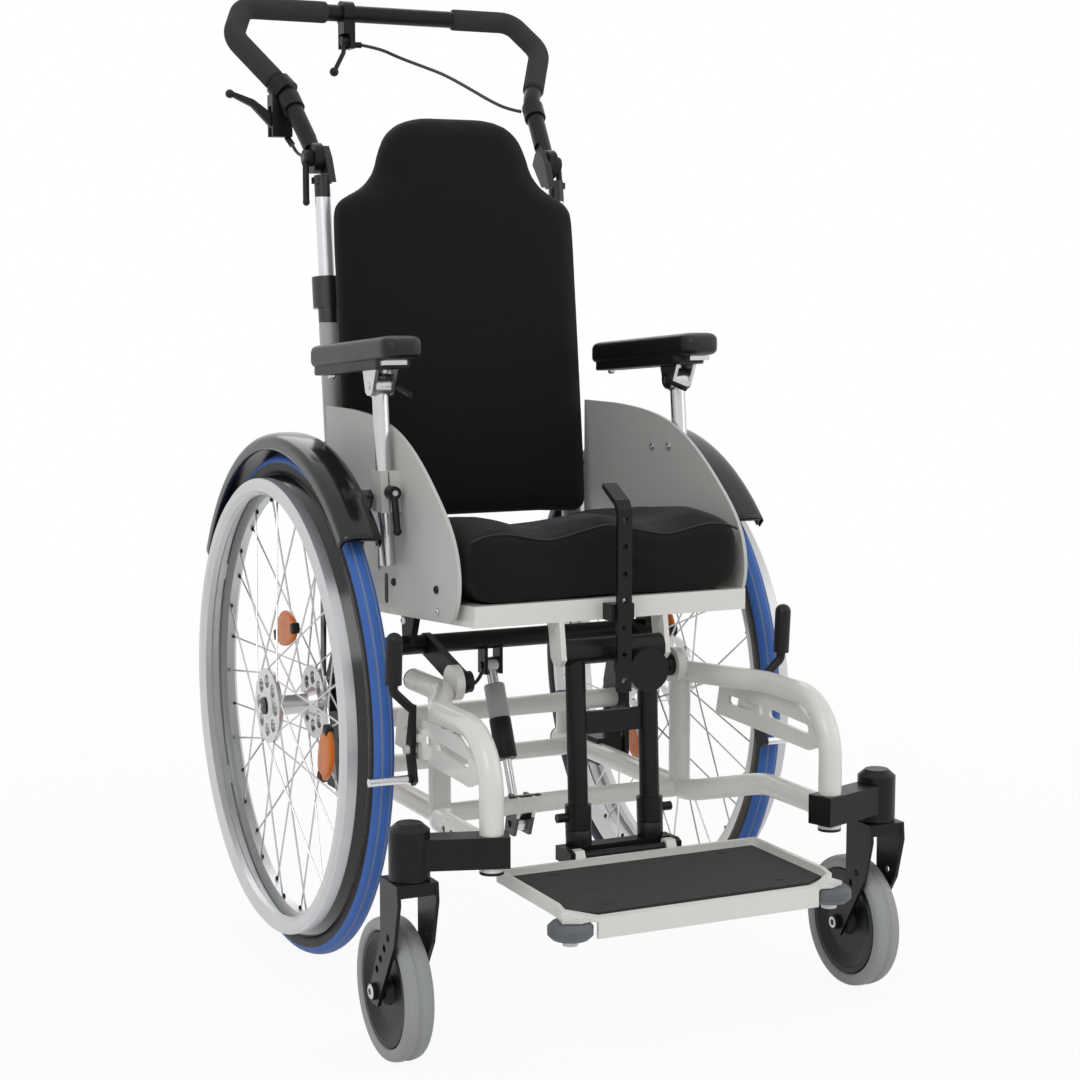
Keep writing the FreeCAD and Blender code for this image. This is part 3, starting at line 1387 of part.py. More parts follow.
def footplate():
    # shallow tray with a raised rim, a front apron, roller brackets and hinge knuckles
    low = tray_top - tray_thickness
    outer = [
        V(-tray_half_width, tray_rear_y, low), V(tray_half_width, tray_rear_y, low),
        V(tray_half_width, roller_y + 6, low), V(apron_half_width, tray_front_y, low),
        V(-apron_half_width, tray_front_y, low), V(-tray_half_width, roller_y + 6, low),
    ]
    slab = polygon(outer).extrude(V(0, 0, tray_thickness + tray_rim_height))
    inner = [
        V(-tray_half_width + 5, tray_rear_y - 5, tray_top), V(tray_half_width - 5, tray_rear_y - 5, tray_top),
        V(tray_half_width - 5, roller_y + 8, tray_top), V(apron_half_width - 2, tray_front_y + 6, tray_top),
        V(2 - apron_half_width, tray_front_y + 6, tray_top), V(5 - tray_half_width, roller_y + 8, tray_top),
    ]
    slab = slab.cut(polygon(inner).extrude(V(0, 0, 40)))
    ramp = [(tray_front_y - 1, tray_top), (tray_front_y + 40, tray_top + tray_rim_height + 1),
            (tray_front_y - 1, tray_top + tray_rim_height + 1)]
    slab = slab.cut(yz_plate(ramp, -tray_half_width, tray_half_width))
    apron = box(-apron_half_width, apron_half_width, tray_front_y, tray_front_y + 4, apron_bottom, tray_top)
    parts = [slab, apron]
    for sign in (-1, 1):
        near = sign * (flip_ear_x - 12)
        far = sign * (flip_ear_x - touch)
        parts.append(yz_plate([(flip_y - 9, low), (flip_y - 9, flip_z), (flip_y - 5, flip_z + 8),
                               (flip_y + 5, flip_z + 8), (flip_y + 9, flip_z), (flip_y + 7, low - 1),
                               (tray_rear_y - 30, low - 4), (tray_rear_y - 30, low)], min(near,
                                                                                          far), max(near,
                                                                                                    far)))
        pin = V(sign * roller_x, roller_y, 0)
        parts.append(rod(V(pin.x, pin.y, roller_bottom - 7), V(pin.x, pin.y, low), roller_pin_radius))
        parts.append(rod(V(pin.x, pin.y, roller_bottom - 7), V(pin.x, pin.y, roller_bottom - 3), 8))
        bracket = polygon([V(sign * 118, roller_y + 24, low), V(sign * 157, roller_y + 24, low),
                           V(sign * 163, roller_y - 6, low), V(sign * 146, roller_y - 14, low),
                           V(sign * 118, roller_y - 6, low)]).extrude(V(0, 0, tray_thickness))
        parts.append(bracket)
    body = fused(parts)
    body = body.cut(x_rod(-flip_ear_x - 8, flip_ear_x + 8, flip_y, flip_z, flip_pin_radius + fit))
    return body


def foot_mat():
    # ribbed grip mat held by four screws
    mat = box(-mat_half_width, mat_half_width, mat_front_y, tray_rear_y - 10, tray_top,
              tray_top + mat_thickness)
    parts = [mat]
    for x in (-mat_half_width + 14, mat_half_width - 14):
        for y in (mat_front_y + 12, tray_rear_y - 22):
            parts.append(rod(V(x, y, tray_top), V(x, y, tray_top + mat_thickness + 1.2), 5))
    return fused(parts)


def corner_roller():
    # soft bumper wheel lying flat under the tray's corner
    r = roller_radius
    bottom = roller_bottom
    top = roller_bottom + roller_height
    outline = [V(roller_pin_radius + fit, 0, bottom), V(r - 4, 0, bottom), V(r, 0, bottom + 4),
               V(r, 0, top - 4),
               V(r - 4, 0, top), V(roller_pin_radius + fit, 0, top)]
    wheel = polygon(outline).revolve(V(0, 0, 0), V(0, 0, 1), 360)
    wheel.translate(V(roller_x, roller_y, 0))
    return wheel


def cable(points, radius):
    # a held control cable: straight runs and arcs as large as the runs allow
    bends = []
    for index in range(1, len(points) - 1):
        back = points[index - 1] - points[index]
        forward = points[index + 1] - points[index]
        turn = math.pi - back.getAngle(forward)
        shorter = min(back.Length, forward.Length)
        bends.append(0.45 * shorter / math.tan(turn / 2))
    print("cable bend radii", [round(b, 1) for b in bends])
    tube = swept(points, bends, radius)
    path = filleted_path(points, bends)
    expected = math.pi * radius * radius * path.Length
    print("cable length", round(path.Length, 1), "volume share", round(tube.Volume / expected, 4))
    return tube


def control_cables():
    # tilt cable from its lever to the right collar, and the brake cable from its lever to the left hinge
    tilt = [V(*p) for p in tilt_cable_points]
    brake = [V(*p) for p in brake_cable_points]
    return [cable(tilt, cable_radius), cable(brake, cable_radius)]


def spring_cable():
    # release cable from the seat's cross bar down to the gas spring's head
    return cable([V(*p) for p in spring_cable_points], cable_radius)


def build_nodes():
    nodes = {}

    def add(name, shapes):
        nodes[name] = shapes if isinstance(shapes, list) else [shapes]

    for side, word in ((1, "right"), (-1, "left")):
        add("tyre_" + word, side_of(tyre(), side))
        add("rim_" + word, side_of(rim(), side))
        add("hub_" + word, [side_of(s, side) for s in hub_and_spokes()])
        add("handrim_" + word, [side_of(s, side) for s in handrim()])
        add("release_button_" + word, side_of(release_button(), side))
        add("caster_tyre_" + word, side_of(caster_tyre(), side))
        add("caster_rim_" + word, side_of(caster_rim(), side))
        add("caster_fork_" + word, [side_of(s, side) for s in fork_with_bolt()])
        add("side_frame_" + word, side_of(side_frame(), side))
    both = []
    for side in (1, -1):
        both += [side_of(s, side) for s in mudguard_set()]
    add("mudguards", both)
    add("caster_housings", [side_of(caster_housing(), s) for s in (1, -1)])
    add("axle_plates", [side_of(p, s) for s in (1, -1) for p in axle_plate()])
    add("brake_rails", [side_of(p, s) for s in (1, -1) for p in (brake_rail(), brake_body())])
    add("plugs_and_pivot_bolts", [side_of(p, s) for s in (1, -1) for p in tube_plugs() + [pivot_bolts()]])
    add("cross_tubes", cross_tubes())
    add("seat_frame", seat_frame())
    add("tilt_yoke", tilt_yoke())
    panel_pieces = [side_panel()] + panel_spacer() + [armrest_holder()]
    add("side_panels", [side_of(p, s) for s in (1, -1) for p in panel_pieces])
    add("pommel_bar", pommel_bar())
    add("seat_cushion", seat_cushion())
    add("back_frame", back_frame())
    add("back_cushion", back_cushion())
    add("push_stems", push_stems())
    add("push_bar", [push_bar()] + lever_clamps())
    add("push_bar_foam", push_bar_foam())
    add("tilt_lever", tilt_lever())
    add("brake_lever", brake_lever())
    add("spring_cylinder", spring_cylinder())
    add("spring_rod", spring_rod())
    add("leg_hanger", leg_hanger())
    add("leg_slides", leg_slides())
    add("footplate", footplate())
    add("foot_mat", foot_mat())
    add("control_cables", control_cables())
    add("spring_cable", spring_cable())
    for side, word in ((1, "right"), (-1, "left")):
        add("armrest_post_" + word, side_of(armrest_post(), side))
        add("pad_bracket_" + word, side_of(pad_bracket(), side))
        add("armrest_pad_" + word, side_of(armrest_pad(), side))
        add("height_lever_" + word, side_of(height_lever(), side))
        add("angle_lever_" + word, side_of(angle_lever(), side))
        add("cam_lever_" + word, side_of(cam_lever(), side))
        add("parking_brake_" + word, [side_of(s, side) for s in parking_brake()])
        add("corner_roller_" + word, side_of(corner_roller(), side))
    return nodes


def save(name, shapes):
    moved = []
    for shape in shapes:
        solid = shape.copy()
        solid.translate(V(0, origin_shift, 0))
        moved.append(solid)
    whole = moved[0] if len(moved) == 1 else Part.makeCompound(moved)
    whole.exportStep("parts/" + name + ".step")


os.makedirs("parts", exist_ok=True)
for node_name, node_shapes in build_nodes().items():
    save(node_name, node_shapes)
    count = sum(len(s.Solids) for s in node_shapes)
    print(node_name, count, "solids", all(s.isValid() for s in node_shapes))
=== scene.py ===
import math

import bmesh
import bpy
import numpy as np
from mathutils import Matrix, Vector


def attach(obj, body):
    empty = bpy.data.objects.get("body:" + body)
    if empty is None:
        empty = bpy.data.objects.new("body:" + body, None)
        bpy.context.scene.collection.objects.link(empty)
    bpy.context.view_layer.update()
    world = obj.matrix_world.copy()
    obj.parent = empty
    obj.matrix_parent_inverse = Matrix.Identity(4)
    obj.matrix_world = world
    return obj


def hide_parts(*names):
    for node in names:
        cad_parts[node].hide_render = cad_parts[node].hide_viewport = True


# Tilt-in-space wheelchair. Lengths below are millimetres with y = 0 at the rear axle;
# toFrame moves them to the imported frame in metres.

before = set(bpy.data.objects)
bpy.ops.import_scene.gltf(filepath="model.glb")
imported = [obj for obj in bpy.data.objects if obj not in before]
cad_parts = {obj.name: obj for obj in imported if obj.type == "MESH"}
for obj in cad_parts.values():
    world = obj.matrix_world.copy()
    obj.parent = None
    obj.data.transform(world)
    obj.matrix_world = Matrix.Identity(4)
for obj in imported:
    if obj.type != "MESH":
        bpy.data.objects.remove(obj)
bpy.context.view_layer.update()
axleSetback = 119.5
sideNames = {-1: "left", 1: "right"}


def toFrame(points):
    return (np.asarray(points, float) + [0.0, axleSetback, 0.0]) / 1000.0


# camera
cameraView = {
    "place": (-1.0641, -2.2635, 0.7826),
    "right": (0.90133, -0.43314, 0.0),
    "up": (0.05006, 0.10418, 0.99330),
    "forward": (0.43024, 0.89529, -0.11558),
    "lens": 71.25,
    "sensor": 36.0,
}
cameraData = bpy.data.cameras.new("photoCamera")
cameraData.lens = cameraView["lens"]
cameraData.sensor_width = cameraView["sensor"]
cameraData.clip_start = 0.05
cameraData.clip_end = 60.0
camera = bpy.data.objects.new("photoCamera", cameraData)
bpy.context.scene.collection.objects.link(camera)
backward = [-c for c in cameraView["forward"]]
turn = Matrix((cameraView["right"], cameraView["up"], backward)).transposed()
camera.matrix_world = Matrix.Translation(cameraView["place"]) @ turn.to_4x4()
bpy.context.scene.camera = camera
bpy.context.scene.view_settings.view_transform = "Standard"
print("camera set")


# shader node groups
def newGroup(name, inputs, outputs):
    group = bpy.data.node_groups.new(name, "ShaderNodeTree")
    for label, kind, value in inputs:
        socket = group.interface.new_socket(name=label, in_out="INPUT", socket_type=kind)
        if value is not None:
            socket.default_value = value
    for label, kind in outputs:
        group.interface.new_socket(name=label, in_out="OUTPUT", socket_type=kind)
    source = group.nodes.new("NodeGroupInput")
    sink = group.nodes.new("NodeGroupOutput")
    return group, source, sink


def mathNode(tree, operation, first, second=None, clamp=False):
    node = tree.nodes.new("ShaderNodeMath")
    node.operation = operation
    node.use_clamp = clamp
    for index, value in enumerate((first, second)):
        if value is None:
            continue
        if isinstance(value, (int, float)):
            node.inputs[index].default_value = value
        else:
            tree.links.new(value, node.inputs[index])
    return node.outputs[0]


def noiseNode(tree, vector, scale, detail, roughness=0.55):
    node = tree.nodes.new("ShaderNodeTexNoise")
    node.inputs["Detail"].default_value = detail
    node.inputs["Roughness"].default_value = roughness
    tree.links.new(vector, node.inputs["Vector"])
    if isinstance(scale, (int, float)):
        node.inputs["Scale"].default_value = scale
    else:
        tree.links.new(scale, node.inputs["Scale"])
    return node.outputs[0]


# fine grain for bumps and a slow mottle for colour and gloss
def buildGrainGroup():
    group, source, sink = newGroup(
        "grainAndMottle",
        [("Vector", "NodeSocketVector", None), ("Grain Scale", "NodeSocketFloat", 900.0),
         ("Mottle Scale", "NodeSocketFloat", 14.0)],
        [("Height", "NodeSocketFloat"), ("Mottle", "NodeSocketFloat")],
    )
    grain = noiseNode(group, source.outputs["Vector"], source.outputs["Grain Scale"], 3.0)
    mottle = noiseNode(group, source.outputs["Vector"], source.outputs["Mottle Scale"], 4.0)
    spread = mathNode(group, "MULTIPLY_ADD", mottle, 1.6, clamp=True)
    spread.node.inputs[2].default_value = -0.3
    group.links.new(grain, sink.inputs["Height"])
    group.links.new(spread, sink.inputs["Mottle"])
    return group


# faint dust that settles on faces that look up
def buildDustGroup():
    group, source, sink = newGroup(
        "settledDust",
        [("Vector", "NodeSocketVector", None), ("Color", "NodeSocketColor", (0.5, 0.5, 0.5, 1.0)),
         ("Dust Color", "NodeSocketColor", (0.45, 0.43, 0.4, 1.0)), ("Amount", "NodeSocketFloat", 0.1)],
        [("Color", "NodeSocketColor"), ("Dust", "NodeSocketFloat")],
    )
    geometry = group.nodes.new("ShaderNodeNewGeometry")
    split = group.nodes.new("ShaderNodeSeparateXYZ")
    group.links.new(geometry.outputs["Normal"], split.inputs[0])
    up = mathNode(group, "MULTIPLY", split.outputs["Z"], split.outputs["Z"])
    facing = mathNode(group, "GREATER_THAN", split.outputs["Z"], 0.0)
    patches = noiseNode(group, source.outputs["Vector"], 60.0, 5.0)
    share = mathNode(group, "MULTIPLY", mathNode(group, "MULTIPLY", up, facing), patches)
    dust = mathNode(group, "MULTIPLY", share, source.outputs["Amount"], clamp=True)
    mix = group.nodes.new("ShaderNodeMix")
    mix.data_type = "RGBA"
    group.links.new(dust, mix.inputs[0])
    group.links.new(source.outputs["Color"], mix.inputs[6])
    group.links.new(source.outputs["Dust Color"], mix.inputs[7])
    group.links.new(mix.outputs[2], sink.inputs["Color"])
    group.links.new(dust, sink.inputs["Dust"])
    return group


# fine knit: two crossed sets of ribs with a little unevenness
def buildKnitGroup():
    group, source, sink = newGroup(
        "stretchKnit",
        [("Vector", "NodeSocketVector", None), ("Ribs", "NodeSocketFloat", 400.0),
         ("Unevenness", "NodeSocketFloat", 0.6)],
        [("Height", "NodeSocketFloat"), ("Shade", "NodeSocketFloat")],
    )
    heights = []
    for direction in ("X", "Z"):
        wave = group.nodes.new("ShaderNodeTexWave")
        wave.bands_direction = direction
        wave.inputs["Detail"].default_value = 1.0
        group.links.new(source.outputs["Vector"], wave.inputs["Vector"])
        group.links.new(source.outputs["Ribs"], wave.inputs["Scale"])
        group.links.new(source.outputs["Unevenness"], wave.inputs["Distortion"])
        heights.append(wave.outputs["Fac"])
    knit = mathNode(group, "MULTIPLY", heights[0], heights[1])
    clouds = noiseNode(group, source.outputs["Vector"], 9.0, 5.0)
    shade = mathNode(group, "ADD", mathNode(group, "MULTIPLY", knit, 0.35),
                     mathNode(group, "MULTIPLY", clouds, 0.65))
    group.links.new(knit, sink.inputs["Height"])
    group.links.new(shade, sink.inputs["Shade"])
    return group


# 1 inside a box given by its middle and half sizes, 0 outside
def buildZoneGroup():
    group, source, sink = newGroup(
        "boxZone",
        [("Vector", "NodeSocketVector", None), ("Middle", "NodeSocketVector", (0.0, 0.0, 0.0)),
         ("Half", "NodeSocketVector", (1.0, 1.0, 1.0))],
        [("Mask", "NodeSocketFloat")],
    )
    away = group.nodes.new("ShaderNodeVectorMath")
    away.operation = "SUBTRACT"
    size = group.nodes.new("ShaderNodeVectorMath")
    size.operation = "ABSOLUTE"
    over = group.nodes.new("ShaderNodeVectorMath")
    over.operation = "SUBTRACT"
    split = group.nodes.new("ShaderNodeSeparateXYZ")
    group.links.new(source.outputs["Vector"], away.inputs[0])
    group.links.new(source.outputs["Middle"], away.inputs[1])
    group.links.new(away.outputs[0], size.inputs[0])
    group.links.new(size.outputs[0], over.inputs[0])
    group.links.new(source.outputs["Half"], over.inputs[1])
    group.links.new(over.outputs[0], split.inputs[0])
    flatWorst = mathNode(group, "MAXIMUM", split.outputs[0], split.outputs[1])
    worst = mathNode(group, "MAXIMUM", flatWorst, split.outputs[2])
    group.links.new(mathNode(group, "LESS_THAN", worst, 0.0), sink.inputs["Mask"])
    return group


groups = {"grain": buildGrainGroup(), "dust": buildDustGroup(), "knit": buildKnitGroup(),
          "zone": buildZoneGroup()}


def useGroup(tree, name, vector, **values):
    node = tree.nodes.new("ShaderNodeGroup")
    node.node_tree = groups[name]
    tree.links.new(vector, node.inputs["Vector"])
    for label, value in values.items():
        node.inputs[label.replace("_", " ")].default_value = value
    return node


def mixColor(tree, share, first, second):
    mix = tree.nodes.new("ShaderNodeMix")
    mix.data_type = "RGBA"
    tree.links.new(share, mix.inputs[0])
    for index, value in ((6, first), (7, second)):
        if isinstance(value, tuple):
            mix.inputs[index].default_value = (*value, 1.0)
        else:
            tree.links.new(value, mix.inputs[index])
    return mix.outputs[2]


def mixNumber(tree, share, first, second):
    mix = tree.nodes.new("ShaderNodeMix")
    tree.links.new(share, mix.inputs[0])
    for index, value in ((2, first), (3, second)):
        if isinstance(value, (int, float)):
            mix.inputs[index].default_value = value
        else:
            tree.links.new(value, mix.inputs[index])
    return mix.outputs[0]


# each finish: colour and its mottled neighbour, roughness range, metal, bump and dust;
# zones repaint boxes of the object, given as lowest and highest corner in millimetres
finishes = {
    "whitePaint": dict(color=(0.80, 0.79, 0.75), other=(0.79, 0.78, 0.74), rough=(0.26, 0.3), coat=0.3,
                       grain=500, depth=0.01),
    "blackPaint": dict(color=(0.006, 0.006, 0.007), other=(0.009, 0.009, 0.010), rough=(0.3, 0.38),
                       specular=0.22, grain=1500, depth=0.1),
    "greyPaint": dict(color=(0.42, 0.43, 0.44), other=(0.40, 0.41, 0.42), rough=(0.3, 0.38), coat=0.2,
                      grain=900, depth=0.03),
    "stemSilver": dict(color=(0.82, 0.83, 0.85), other=(0.80, 0.81, 0.83), rough=(0.28, 0.34), metal=0.5,
                       grain=900, depth=0.01),
    "silver": dict(color=(0.62, 0.62, 0.63), other=(0.57, 0.57, 0.58), rough=(0.22, 0.3), metal=0.9,
                   grain=700, depth=0.02),
    "anodised": dict(color=(0.62, 0.63, 0.64), other=(0.58, 0.59, 0.60), rough=(0.34, 0.42), metal=0.75,
                     grain=1200, depth=0.03),
    "steel": dict(color=(0.62, 0.62, 0.62), other=(0.55, 0.55, 0.55), rough=(0.22, 0.34), metal=1.0,
                  grain=800, depth=0.03),
    "blackPlastic": dict(color=(0.007, 0.007, 0.008), other=(0.011, 0.011, 0.012), rough=(0.4, 0.5),
                         specular=0.28, grain=1800, depth=0.2),
    "glossBlack": dict(color=(0.006, 0.006, 0.007), other=(0.009, 0.009, 0.010), rough=(0.12, 0.18),
                       specular=0.4, grain=300, depth=0.01),
    "panelGrey": dict(color=(0.60, 0.60, 0.58), other=(0.58, 0.58, 0.56), rough=(0.45, 0.55), grain=1400,
                      depth=0.05),
    "foam": dict(color=(0.034, 0.034, 0.035), other=(0.048, 0.048, 0.049), rough=(0.85, 0.95), specular=0.25,
                 grain=1100, depth=0.8),
    "padSkin": dict(color=(0.007, 0.007, 0.008), other=(0.011, 0.011, 0.012), rough=(0.34, 0.44),
                    specular=0.35, grain=1300, depth=0.3),
    "casterRubber": dict(color=(0.36, 0.37, 0.38), other=(0.31, 0.32, 0.33), rough=(0.55, 0.7), grain=900,
                         depth=0.15),
    "rollerRubber": dict(color=(0.10, 0.11, 0.12), other=(0.13, 0.14, 0.15), rough=(0.5, 0.6), grain=900,
                         depth=0.15),
    "whitePlate": dict(color=(0.82, 0.81, 0.77), other=(0.79, 0.78, 0.74), rough=(0.3, 0.4), coat=0.2,
                       grain=1000, depth=0.04),
    "gripMat": dict(color=(0.016, 0.016, 0.017), other=(0.03, 0.03, 0.031), rough=(0.75, 0.95), grain=1600,
                    depth=1.0),
    "cableSheath": dict(color=(0.018, 0.018, 0.018), other=(0.026, 0.026, 0.026), rough=(0.3, 0.4), grain=600,
                        depth=0.05),
    "reflector": dict(color=(0.80, 0.22, 0.012), other=(0.62, 0.13, 0.008), rough=(0.15, 0.25), specular=0.3,
                      grain=260, depth=0.6),
    "cloth": dict(color=(0.0045, 0.0045, 0.0048), other=(0.009, 0.009, 0.0095), rough=(0.85, 0.97),
                  knit=520.0, depth=0.35, sheen=0.07, specular=0.2),
}
materials = {}
dustAmount = 0.05
mottleScale = 14.0
bumpDistance = 0.0004


def makeFinish(name, key=None, zones=()):
    # Principled shader fed by the shared groups; zones list (low, high, colour, roughness, metal)
    key = key or name
    if name in materials:
        return materials[name]
    s = finishes[key]
    material = bpy.data.materials.new(name)
    material.use_nodes = True
    tree = material.node_tree
    shader = tree.nodes["Principled BSDF"]
    place = tree.nodes.new("ShaderNodeTexCoord").outputs["Object"]
    if "knit" in s:
        pattern = useGroup(tree, "knit", place, Ribs=s["knit"])
        height, mottle = pattern.outputs["Height"], pattern.outputs["Shade"]
    else:
        pattern = useGroup(tree, "grain", place, Grain_Scale=float(s["grain"]), Mottle_Scale=mottleScale)
        height, mottle = pattern.outputs["Height"], pattern.outputs["Mottle"]
    color = mixColor(tree, mottle, s["color"], s["other"])
    rough = mixNumber(tree, mottle, s["rough"][0], s["rough"][1])
    metal = None
    for low, high, zoneColor, zoneRough, zoneMetal in zones:
        a, b = toFrame(low), toFrame(high)
        zone = useGroup(tree, "zone", place, Middle=tuple((a + b) / 2), Half=tuple((b - a) / 2))
        mask = zone.outputs["Mask"]
        color = mixColor(tree, mask, color, zoneColor)
        rough = mixNumber(tree, mask, rough, zoneRough)
        metal = mixNumber(tree, mask, s.get("metal", 0.0) if metal is None else metal, zoneMetal)
    dust = useGroup(tree, "dust", place, Amount=dustAmount)
    tree.links.new(color, dust.inputs["Color"])
    tree.links.new(dust.outputs["Color"], shader.inputs["Base Color"])
    tree.links.new(rough, shader.inputs["Roughness"])
    if metal is None:
        shader.inputs["Metallic"].default_value = s.get("metal", 0.0)
    else:
        tree.links.new(metal, shader.inputs["Metallic"])
    shader.inputs["Coat Weight"].default_value = s.get("coat", 0.0)
    shader.inputs["Coat Roughness"].default_value = 0.12
    shader.inputs["Specular IOR Level"].default_value = s.get("specular", 0.5)
    if "sheen" in s:
        shader.inputs["Sheen Weight"].default_value = s["sheen"]
        shader.inputs["Sheen Roughness"].default_value = 0.5
    bump = tree.nodes.new("ShaderNodeBump")
    bump.inputs["Strength"].default_value = min(1.0, s["depth"])
    bump.inputs["Distance"].default_value = bumpDistance
    tree.links.new(height, bump.inputs["Height"])
    tree.links.new(bump.outputs[0], shader.inputs["Normal"])
    materials[name] = material
    return material


print("materials ready")


# mesh helpers
def gridFaces(rows, cols, wrapRows, wrapCols):
    steps = np.arange(rows if wrapRows else rows - 1), np.arange(cols if wrapCols else cols - 1)
    i, j = (part.ravel() for part in np.meshgrid(*steps, indexing="ij"))
    up, over = (i + 1) % rows, (j + 1) % cols
    return np.stack([i * cols + j, i * cols + over, up * cols + over, up * cols + j], 1)


# a grid of points (rows, columns, 3) in millimetres; ends close to their middle points
def gridMesh(name, grid, wrapRows=False, wrapCols=True, closeEnds=True, sharp=None):
    rows, cols = grid.shape[:2]
    points = grid.reshape(-1, 3)
    faces = gridFaces(rows, cols, wrapRows, wrapCols).tolist()
    if closeEnds and not wrapRows:
        first, last = len(points), len(points) + 1
        points = np.vstack([points, grid[0].mean(0), grid[-1].mean(0)])
        ring = np.arange(cols)
        following = (ring + 1) % cols
        faces += np.stack([np.full(cols, first), following, ring], 1).tolist()
        base = (rows - 1) * cols
        faces += np.stack([np.full(cols, last), base + ring, base + following], 1).tolist()
    mesh = bpy.data.meshes.new(name)
    mesh.from_pydata(toFrame(points).tolist(), [], faces)
    tidyMesh(mesh, sharp)
    return mesh


def tidyMesh(mesh, sharp=None):
    work = bmesh.new()
    work.from_mesh(mesh)
    bmesh.ops.remove_doubles(work, verts=work.verts, dist=1e-6)
    bmesh.ops.recalc_face_normals(work, faces=work.faces)
    work.to_mesh(mesh)
    work.free()
    mesh.shade_smooth()
    if sharp:
        mesh.set_sharp_from_angle(angle=math.radians(sharp))


def addPiece(name, mesh, body, finish, replaced=()):
    piece = bpy.data.objects.new(name, mesh)
    bpy.context.scene.collection.objects.link(piece)
    mesh.materials.clear()
    mesh.materials.append(finish if isinstance(finish, bpy.types.Material) else makeFinish(finish))
    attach(piece, body)
    if replaced:
        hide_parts(*replaced)
    return piece


# profile (offset, radius) carried round an axle along x: (x + offset, y + r cos a, z + r sin a)
def revolve(profile, centre, steps=192, side=1):
    profile = np.asarray(profile, float)
    a = np.linspace(0, 2 * math.pi, steps, endpoint=False)[:, None]
    x = np.broadcast_to(centre[0] + side * profile[None, :, 0], (steps, len(profile)))
    radius = profile[None, :, 1]
    return np.stack([x, centre[1] + radius * np.cos(a), centre[2] + radius * np.sin(a)], -1)


# circle of radius r(t) carried along a path: path(t) + r (n cos a + b sin a)
def sweep(path, radii, sides=20, upward=(0.0, 0.0, 1.0)):
    path = np.asarray(path, float)
    tangent = np.gradient(path, axis=0)
    tangent /= np.linalg.norm(tangent, axis=1)[:, None]
    across = np.cross(tangent, upward)
    across /= np.linalg.norm(across, axis=1)[:, None]
    other = np.cross(across, tangent)
    a = np.linspace(0, 2 * math.pi, sides, endpoint=False)
    r = np.broadcast_to(np.asarray(radii, float), (len(path),))[:, None, None]
    ring = np.cos(a)[None, :, None] * across[:, None] + np.sin(a)[None, :, None] * other[:, None]
    return path[:, None] + r * ring


# superellipse power: sign(c) |c|^p
def signedPower(value, power):
    return np.sign(value) * np.abs(value) ** power


# rounded block: superellipsoid with powers round the waist and over the top
def roundedBlock(centre, half, square=0.25, rows=24, cols=48):
    v = np.linspace(-math.pi / 2 + 0.02, math.pi / 2 - 0.02, rows)[:, None]
    u = np.linspace(0, 2 * math.pi, cols, endpoint=False)[None, :]
    x = signedPower(np.cos(v), square) * signedPower(np.cos(u), square)
    y = signedPower(np.cos(v), square) * signedPower(np.sin(u), square)
    z = np.broadcast_to(signedPower(np.sin(v), square), x.shape)
    return np.asarray(centre) + np.stack([x * half[0], y * half[1], z * half[2]], -1)


# lathe: profile (r, h) turned about a line through base: base + h axis + r (u cos a + v sin a)
def turned(profile, base, axis, steps=40):
    axis = np.asarray(axis, float) / np.linalg.norm(axis)
    u = np.cross(axis, (0.3, 0.5, 0.81))
    u /= np.linalg.norm(u)
    v = np.cross(axis, u)
    profile = np.asarray(profile, float)
    a = np.linspace(0, 2 * math.pi, steps, endpoint=False)
    ring = np.cos(a)[:, None] * u + np.sin(a)[:, None] * v
    return np.asarray(base, float) + profile[:, 1, None, None] * axis + profile[:, 0, None, None] * ring[None]


# domed screw head with a round socket
def addScrew(name, base, axis, radius, height, body, finish="silver"):
    profile = [(radius * 0.45, height * 0.5), (radius * 0.45, height), (radius * 0.75, height),
               (radius * 0.93, height * 0.8), (radius, height * 0.5), (radius, -0.2)]
    return addPiece(name, gridMesh(name, turned(profile, base, axis), sharp=35), body, finish)


# plain rod with a small bevel at both ends
def addRod(name, start, end, radius, body, finish, bevel=1.2):
    start, end = np.asarray(start, float), np.asarray(end, float)
    length = np.linalg.norm(end - start)
    profile = [(radius - bevel, 0), (radius, bevel), (radius, length - bevel), (radius - bevel, length)]
    return addPiece(name, gridMesh(name, turned(profile, start, end - start, 56), sharp=50), body, finish)


# sleeve with a bore, bevelled at both ends
def addSleeve(name, start, end, radius, bore, body, finish, bevel=1.2):
    start, end = np.asarray(start, float), np.asarray(end, float)
    length = np.linalg.norm(end - start)
    profile = [(bore, 0), (radius - bevel, 0), (radius, bevel), (radius, length - bevel),
               (radius - bevel, length), (bore, length)]
    grid = turned(profile, start, end - start, 56)
    return addPiece(name, gridMesh(name, grid, wrapRows=True, sharp=50), body, finish)


# cords
cordPieces = {
    "tiltCable": dict(
        node="control_cables", body="push_bar", diameter=0.0044, length=0.2413,
        points=[(-0.0272, 0.4395, 1.106), (-0.002, 0.4395, 1.103), (0.024, 0.4355, 1.092),
                (0.050, 0.4255, 1.082), (0.078, 0.4095, 1.070), (0.104, 0.3895, 1.052),
                (0.126, 0.3675, 1.034), (0.143, 0.3475, 1.022), (0.1554, 0.3325, 1.0181)]),
    "brakeCable": dict(
        node="control_cables", body="push_bar", diameter=0.0044, length=0.059,
        points=[(-0.1619, 0.3317, 0.964), (-0.160, 0.3265, 0.957), (-0.158, 0.3115, 0.951),
                (-0.158, 0.2945, 0.9495), (-0.159, 0.2791, 0.951)]),
    "springCable": dict(
        node="spring_cable", body="seat", diameter=0.0044, length=0.096,
        points=[(-0.1181, -0.0299, 0.3729), (-0.119, -0.0385, 0.365), (-0.114, -0.0465, 0.351),
                (-0.102, -0.0505, 0.338), (-0.086, -0.0465, 0.332), (-0.072, -0.0365, 0.337),
                (-0.0633, -0.0288, 0.3463)]),
}


